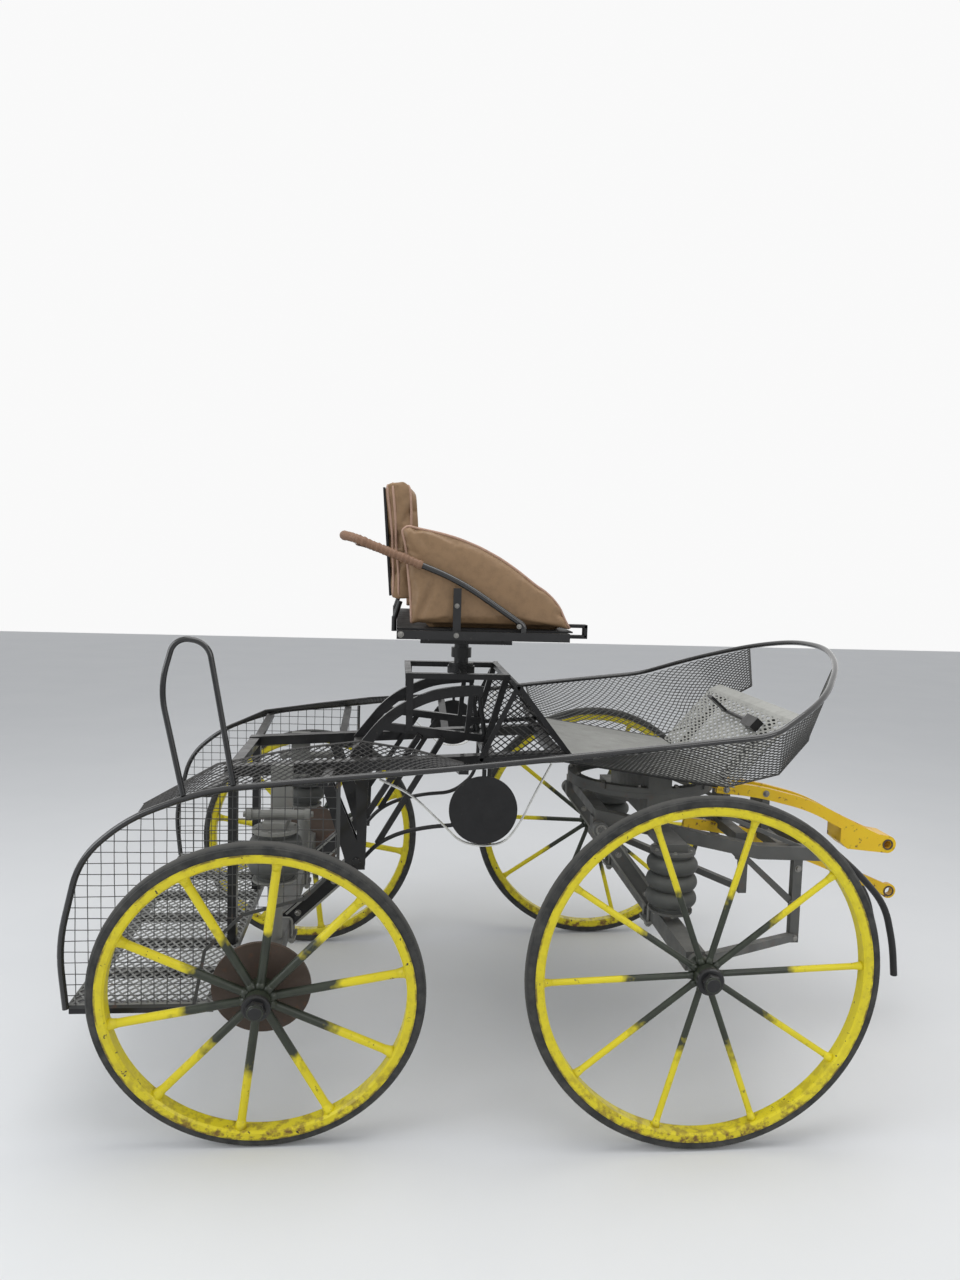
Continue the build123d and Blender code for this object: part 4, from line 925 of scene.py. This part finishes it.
def panel_crown(point):
    """Thins a panel towards its outline, and tucks its rear foot forwards as on the real one."""
    top = PANEL_ARC[-1][1]
    for (x0, z0), (x1, z1) in zip(PANEL_ARC, PANEL_ARC[1:]):
        if x1 <= point.x <= x0:
            top = z0 + (z1 - z0) * (x0 - point.x) / (x0 - x1)
    gap = min(top - point.z, (point.x - PANEL_LOW[0]) * 1.1, (point.z - PANEL_LOW[2]) * 2.2)
    swell = PANEL_SWELL[0] + PANEL_SWELL[1] * min(max(gap, 0) / PANEL_FADE, 1) ** 0.6
    sign = 1 if point.y > 0 else -1
    height = (PANEL_HIGH[2] - point.z) / (PANEL_HIGH[2] - PANEL_LOW[2])
    rear = min(max((TUCK_START - point.x) / TUCK_RUN, 0), 1)
    half = PANEL_MIDDLE + (abs(point.y) - PANEL_MIDDLE) * swell
    return Vector((point.x + PANEL_TUCK * height * rear, sign * half, point.z))


CUSHION_LOW, CUSHION_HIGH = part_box("seat_cushion")
BACK_LOW, BACK_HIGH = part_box("backrest")
# Middle line of the backrest's lean: x at its foot and at its top
BACK_LEAN = (-0.408, -0.432)
BACK_HALF_THICK = 0.034
BACK_ROUNDING = 0.045
BACK_FLATTENING = 0.55
# Fall of the cushion's front edge, and the run it grows over
CUSHION_FALL = 0.048
CUSHION_RUN = 0.09


def lean_at(z):
    """x of the backrest's middle line at a height."""
    share = (z - BACK_LOW[2]) / (BACK_HIGH[2] - BACK_LOW[2])
    return BACK_LEAN[0] + share * (BACK_LEAN[1] - BACK_LEAN[0])


def cushion_crown(point):
    """Lets the cushion's front edge fall away behind the side panels."""
    front = min(max((point.x - (CUSHION_HIGH[0] - CUSHION_RUN)) / CUSHION_RUN, 0), 1)
    height = (point.z - CUSHION_LOW[2]) / (CUSHION_HIGH[2] - CUSHION_LOW[2])
    return point - Vector((0, 0, CUSHION_FALL * front**2 * max(height, 0)))


def back_crown(point):
    """Rounds the backrest's front towards its top edge."""
    near = min(max((point.z - (BACK_HIGH[2] - BACK_ROUNDING)) / BACK_ROUNDING, 0), 1)
    ahead = max(point.x - lean_at(point.z), 0)
    return point - Vector((BACK_FLATTENING * ahead * near**2, 0, 0))


cushion = softened(
    "cushion_leather", "seat_cushion", voxel=0.007, inset=0.008, cap=0.022,
    keep=inside(CUSHION_LOW, CUSHION_HIGH, (0.004, 0.003, 0.004)), crown=cushion_crown,
)
hold_back = inside(BACK_LOW, BACK_HIGH, (0.004, 0.004, 0.004))


def keep_back(point):
    """Holds the backrest's rear face against its board."""
    held = hold_back(point)
    held.x = max(held.x, lean_at(held.z) - BACK_HALF_THICK)
    return held


back = softened(
    "backrest_leather", "backrest", voxel=0.007, inset=0.003, cap=0.014,
    keep=keep_back, crown=back_crown,
)
panels = softened(
    "side_panel_leather", "side_panels", voxel=0.006, inset=0.003, cap=0.010,
    keep=inside(PANEL_LOW, PANEL_HIGH, (0.003, 0.006, 0)), crown=panel_crown,
)
# Folds of a side panel: both ends as x and z, width, depth
PANEL_FOLDS = (
    ((-0.335, 1.402), (-0.378, 1.285), 0.011, 0.0055),
    ((-0.352, 1.398), (-0.398, 1.300), 0.012, -0.0035),
    ((-0.424, 1.508), (-0.385, 1.470), 0.007, 0.0035),
    ((-0.420, 1.480), (-0.375, 1.462), 0.006, 0.0030),
    ((-0.300, 1.380), (-0.330, 1.300), 0.013, 0.0020),
    ((-0.395, 1.530), (-0.350, 1.480), 0.009, 0.0020),
)
folds = []
for sign in SIDES:
    for ends_xz, (width, depth) in [(fold[:2], fold[2:]) for fold in PANEL_FOLDS]:
        start, end = [Vector((x, sign * PANEL_MIDDLE, z)) for x, z in ends_xz]
        folds.append((start, end, width, depth, sign))
crease(panels, folds)


def on_skin(skin, spots):
    """Moves each spot to the nearest point of a soft piece, and evens out the line they make."""
    tree = BVHTree.FromObject(skin, bpy.context.evaluated_depsgraph_get())
    path = [tree.find_nearest(spot)[0] for spot in spots]
    for _ in range(SEAM_PASSES):
        middle = [(a + 2 * b + c) / 4 for a, b, c in zip(path, path[1:], path[2:])]
        path = path[:1] + middle + path[-1:]
    return path


PIPING_R = 0.0034
SEAM_STEP = 0.02
SEAM_PASSES = 3
# Seams: half widths on a side panel, and shares of the backrest's half thickness
PANEL_SEAMS = (0.453, 0.477)
BACK_SEAMS = (-0.93, -0.45, 0.93)
pile = Pile()
for sign in SIDES:
    for half in PANEL_SEAMS:
        spots = [Vector((x, sign * half, z)) for x, z in PANEL_EDGE]
        pile.tube(on_skin(panels, densely(rounded(spots, 0.5, 4), SEAM_STEP)), PIPING_R, 8)


def back_edge(forward):
    """Loop round the backrest, at a share of its half thickness forward of the middle."""
    low_y, high_y = BACK_LOW[1], BACK_HIGH[1]
    low_z, high_z = BACK_LOW[2] + 0.004, BACK_HIGH[2] - 0.004
    corners = [(low_y, high_z), (low_y, low_z), (high_y, low_z), (high_y, high_z)]
    loop = [(0, high_z), *corners, (0, high_z)]
    return rounded([(lean_at(z) + forward * BACK_HALF_THICK, y, z) for y, z in loop], 0.1, 6)


for forward in BACK_SEAMS:
    pile.tube(on_skin(back, densely(back_edge(forward), SEAM_STEP)), PIPING_R, 8)
for z in (CUSHION_LOW[2] + 0.010, CUSHION_HIGH[2] - 0.012):
    x0, x1 = CUSHION_LOW[0], CUSHION_HIGH[0]
    y0, y1 = CUSHION_LOW[1], CUSHION_HIGH[1]
    loop = ((x1, 0), (x1, y1), (x0, y1), (x0, y0), (x1, y0), (x1, 0))
    edge = rounded([(x, y, z) for x, y in loop], 0.12, 8)
    pile.tube(on_skin(cushion, densely(edge, SEAM_STEP)), PIPING_R, 8)
pile.piece("seat_piping", PAINT["piping"], "carriage", smooth=True)

# Leather wrap on the rear of the arm rails, in overlapping turns
WRAP_START_X = -0.335
WRAP_TURN = 0.013
WRAP_STEP = 0.0022
# Radius under a turn's start, its growth to the turn's end, and the unevenness
WRAP_R = 0.0102
WRAP_LAP = 0.0022
WRAP_RAGGED = 0.0016
pile = Pile()
for sign in SIDES:
    line = rounded([(x, sign * y, z) for x, y, z in ARM_POINTS[2:]], 0.45, 12)
    fine = densely([spot for spot in line if spot.x < WRAP_START_X], WRAP_STEP)

    def wrap_radius(share, count=len(fine)):
        turn = share * count * WRAP_STEP / WRAP_TURN
        ragged = WRAP_RAGGED * noise.noise(Vector((turn * 0.9, 3.1, 0)))
        return WRAP_R + WRAP_LAP * (turn % 1) + ragged

    pile.tube(fine, wrap_radius, 12)
pile.piece("arm_wraps", PAINT["wrap"], "carriage", smooth=True)


def profile(base, pairs, size=1):
    """Pairs of distance and radius, moved along by the base and scaled across by the size."""
    return [(base + reach, size * radius) for reach, radius in pairs]


# Wheels: ferrules at both ends of each spoke, hub collar, cap and nut
for name, sign, centre, wheel_r, camber, spoke_r, spoke_angle in WHEELS:
    lean = radians(camber)
    hub = Vector((centre[0], sign * centre[1], centre[2]))
    out = Vector((0, sign * cos(lean), -sin(lean)))
    forward = Vector((1, 0, 0))
    up = out.cross(forward)
    rim_inner = wheel_r - TYRE_DEPTH - RIM_DEPTH
    pile = Pile()
    for k in range(SPOKES):
        angle = radians(spoke_angle + 360 / SPOKES * k)
        ray = forward * cos(angle) + up * sin(angle)
        pile.lathe(hub, ray, profile(rim_inner, RIM_FERRULE, spoke_r), 12)
        pile.lathe(hub, ray, profile(HUB_R, HUB_FERRULE, spoke_r), 12)
    pile.piece(f"spoke_ferrules_{name}", wheel_paints[name], f"wheel_body_{name}", smooth=True)
    pile = Pile()
    pile.lathe(hub, out, profile(HUB_HALF, HUB_COLLAR), 28)
    pile.lathe(hub, out, profile(HUB_CAP_END, HUB_CAP), 24)
    pile.lathe(hub, out, profile(HUB_HALF, HUB_NUT), 6)
    pile.piece(f"hub_nut_{name}", PAINT["black"], f"wheel_body_{name}")

# Turntable: bolts round the upper ring, and clamp plates at its side
pile = Pile()
plates = Pile()
ring_middle = Vector((FRONT_X, 0, RING_TOP))
for k in range(RING_BOLTS):
    angle = radians(15 + 360 / RING_BOLTS * k)
    ray = Vector((cos(angle), sin(angle), 0))
    pile.bolt(ring_middle + ray * (RING_R - RING_BAR / 2), UP, 0.0065, 0.006)
    if k % 3 == 1:
        spot = ring_middle + ray * (RING_R + CLAMP_GAP)
        side = ray.cross(UP) * CLAMP_HALF_WIDTH
        lift = ray * CLAMP_HALF_THICK
        plates.bar(spot - UP * CLAMP_BELOW, spot + UP * CLAMP_ABOVE, side, lift)
pile.piece("turntable_bolts", PAINT["bolt"], "carriage")
plates.piece("turntable_clamps", PAINT["grey"], "carriage")

# Springs: bolts on the plates, and the cross tube over each rear one
for x, low_z, high_z, body in SPRINGS:
    pile = Pile()
    for sign in SIDES:
        for k in range(SEAT_PLATE_BOLTS):
            angle = radians(360 / SEAT_PLATE_BOLTS * k + 20)
            ray = Vector((cos(angle), sin(angle), 0)) * (SEAT_PLATE_R - BOLT_INSET)
            middle = Vector((x, sign * SPRING_Y, 0)) + ray
            pile.bolt(middle + UP * (high_z + UPPER_PLATE), UP, 0.004, 0.004)
            pile.bolt(middle + UP * (low_z - LOWER_PLATE), -UP, 0.004, 0.004)
        if body == "carriage":
            ends = [Vector((x + end, sign * SPRING_Y, high_z + TUBE_RISE)) for end in TUBE_ENDS]
            pile.tube(ends, TUBE_R, 14)
            for spot, facing in zip(ends, (-1, 1)):
                along = Vector((facing, 0, 0))
                pile.lathe(spot, along, TUBE_COLLAR, 18)
                pile.bolt(spot + along * 0.001, along, 0.009, 0.008)
    pile.piece(f"spring_fittings_{body}", PAINT["cast"], body)

# Swing arms: raised flanges, bolts and pivot nuts
for pivot, foot, half, body in SWING_ARMS:
    flanges = Pile()
    pile = Pile()
    start = Vector((pivot[0], 0, pivot[1]))
    end = Vector((foot[0], 0, foot[1]))
    along = (end - start).normalized()
    across = along.cross(Vector((0, 1, 0)))
    for sign in SIDES:
        for y, facing in ((half - ARM_HALF_WIDTH, -sign), (half + ARM_HALF_WIDTH, sign)):
            face = Vector((0, sign * y, 0))
            outward = Vector((0, facing, 0))
            for edge_sign in (-1, 1):
                shift = across * edge_sign * (ARM_HALF_HEIGHT - 0.0025) + face + outward * 0.0015
                near = start + along * FLANGE_START + shift
                far = end - along * FLANGE_STOP + shift
                flanges.bar(near, far, across * FLANGE_HALF[0], outward * FLANGE_HALF[1])
            for share in ARM_BOLT_SHARES:
                pile.bolt(start.lerp(end, share) + face, outward, 0.0065, 0.005)
            pile.bolt(start + face + outward * 0.0005, outward, 0.011, 0.008)
    flanges.piece(f"arm_flanges_{body}", PAINT["cast"], body)
    pile.piece(f"arm_bolts_{body}", PAINT["bolt"], body)

# Axle clamps: U-bolts round the axles where the swing arms meet them
for name, x, z, half, body in AXLE_CLAMPS:
    pile = Pile()
    for sign in SIDES:
        for shift in (-U_BOLT_OFFSET, U_BOLT_OFFSET):
            loop = [Vector((x + ahead, sign * half + shift, z + rise)) for ahead, rise in U_BOLT]
            pile.tube(rounded(loop, 0.2, 4), U_BOLT_R, 8)
            for spot in (loop[0], loop[-1]):
                pile.bolt(spot, -UP, 0.0075, 0.007)
        plate = Vector((x, sign * half, z - CLAMP_PLATE_DROP))
        reach, wide, thick = CLAMP_PLATE_HALF
        ends = [plate + Vector((facing * reach, 0, 0)) for facing in (-1, 1)]
        pile.bar(*ends, Vector((0, wide, 0)), UP * thick)
    pile.piece(f"axle_clamps_{name}", PAINT["cast"], body)

# Seat: bolts, front brackets and the board behind the backrest
# Bolts: x, half width, z, radius
SEAT_BOLTS = (
    (-0.279, 0.5105, 1.338, 0.0042),
    (-0.418, 0.512, 1.264, 0.0055),
    (-0.121, 0.511, 1.290, 0.0042),
    (-0.279, 0.512, 1.264, 0.0045),
)
BRACKET_Y = 0.440
BRACKET_HALF_WIDTH = 0.016
BRACKET_HALF_THICK = 0.004
BOARD_HALF_WIDTH = 0.425
BOARD_HALF_THICK = 0.003
pile = Pile()
brackets = Pile()
for sign in SIDES:
    for x, y, z, size in SEAT_BOLTS:
        pile.bolt(Vector((x, sign * y, z)), Vector((0, sign, 0)), size, size * 0.9)
    y = sign * BRACKET_Y
    wide = Vector((0, BRACKET_HALF_WIDTH, 0))
    for z in (1.262, 1.290):
        thick = UP * BRACKET_HALF_THICK
        brackets.bar(Vector((0.020, y, z)), Vector((0.066, y, z)), wide, thick)
    thick = Vector((BRACKET_HALF_THICK, 0, 0))
    brackets.bar(Vector((0.062, y, 1.262)), Vector((0.062, y, 1.292)), wide, thick)
pile.piece("seat_bolts", PAINT["bolt"], "carriage")
foot = Vector((BACK_LEAN[0], 0, BACK_LOW[2]))
lean = Vector((BACK_LEAN[1], 0, BACK_HIGH[2])) - foot
rear = Vector((-lean.z, 0, lean.x)).normalized()
behind = rear * (BACK_HALF_THICK + BOARD_HALF_THICK)
ends = [foot + lean * share + behind for share in (0.06, 0.94)]
brackets.bar(*ends, Vector((0, BOARD_HALF_WIDTH, 0)), rear * BOARD_HALF_THICK)
brackets.piece("seat_brackets", PAINT["board"], "carriage")

# Fore-carriage: bolts at the fork and the struts, and bushes in the two eyes
pile = Pile()
for x, y, z in NOSE_BOLTS:
    for sign in SIDES:
        pile.bolt(Vector((x, sign * y, z)), Vector((0, sign, 0)), 0.0072, 0.006)
pile.piece("nose_bolts", PAINT["bolt"], "fore_carriage")
pile = Pile()
for x, y, z in EYES:
    for sign in SIDES:
        pile.lathe(Vector((x, sign * y, z)), Vector((0, sign, 0)), EYE_BUSH, 24, closed=True)
pile.piece("eye_bushes", PAINT["rust"], "fore_carriage")

# Floor
FLOOR_HALF = 14
mesh = bpy.data.meshes.new("floor")
corners = [(FLOOR_HALF * a, FLOOR_HALF * b, 0) for a, b in ((-1, -1), (1, -1), (1, 1), (-1, 1))]
mesh.from_pydata(corners, [], [(0, 1, 2, 3)])
floor = added("floor", mesh)
mat = Shader("pale_floor", specular=0.2)
mat.colour(mat.mix(mat.noise(1.5), (0.74, 0.745, 0.75), (0.80, 0.80, 0.80)))
mat.surface.inputs["Roughness"].default_value = 0.6
paint(floor, mat.material)

# World: white where the camera or a reflection sees it, softer as light
SKY_STRENGTH = 0.5
BACKDROP_STRENGTH = 0.95
world = bpy.data.worlds.new("studio")
bpy.context.scene.world = world
world.use_nodes = True
tree = world.node_tree
tree.nodes.clear()
path = tree.nodes.new("ShaderNodeLightPath")
seen = path.outputs["Is Camera Ray"]
for kind in ("Is Glossy Ray", "Is Transmission Ray"):
    most = tree.nodes.new("ShaderNodeMath")
    most.operation = "MAXIMUM"
    tree.links.new(seen, most.inputs[0])
    tree.links.new(path.outputs[kind], most.inputs[1])
    seen = most.outputs[0]
light = tree.nodes.new("ShaderNodeBackground")
light.inputs["Color"].default_value = (0.93, 0.96, 1.0, 1)
light.inputs["Strength"].default_value = SKY_STRENGTH
white = tree.nodes.new("ShaderNodeBackground")
white.inputs["Color"].default_value = (1, 1, 1, 1)
white.inputs["Strength"].default_value = BACKDROP_STRENGTH
blend = tree.nodes.new("ShaderNodeMixShader")
output = tree.nodes.new("ShaderNodeOutputWorld")
tree.links.new(seen, blend.inputs[0])
tree.links.new(light.outputs[0], blend.inputs[1])
tree.links.new(white.outputs[0], blend.inputs[2])
tree.links.new(blend.outputs[0], output.inputs[0])


def lamp(name, place, aim, size, energy, tint=(1, 1, 1)):
    data = bpy.data.lights.new(name, "AREA")
    data.shape = "RECTANGLE"
    data.size, data.size_y = size
    data.energy = energy
    data.color = tint
    made = added(name, data)
    made.location = place
    made.rotation_euler = (Vector(aim) - Vector(place)).to_track_quat("-Z", "Y").to_euler()


lamp("ceiling", (0.2, -0.6, 4.2), (0, 0, 0.6), (4.0, 3.0), 95)
lamp("window", (-4.2, -2.0, 2.4), (0, 0, 0.8), (2.5, 2.5), 70, (0.93, 0.97, 1.0))
lamp("front", (2.6, -4.2, 2.6), (0, 0, 0.7), (3.0, 2.0), 45)

# Camera
camera_data = bpy.data.cameras.new("camera")
camera_data.sensor_width = SENSOR
camera_data.lens = FOCAL_PIXELS * SENSOR / PICTURE_HEIGHT
camera = added("camera", camera_data)
inward = PICTURE_IN.normalized()
right = (PICTURE_RIGHT - inward * PICTURE_RIGHT.dot(inward)).normalized()
up = right.cross(inward)
turn = Matrix((right, up, -inward)).transposed().to_4x4()
camera.matrix_world = Matrix.Translation(CAMERA_PLACE) @ turn
bpy.context.scene.camera = camera
bpy.context.scene.view_settings.view_transform = "Standard"
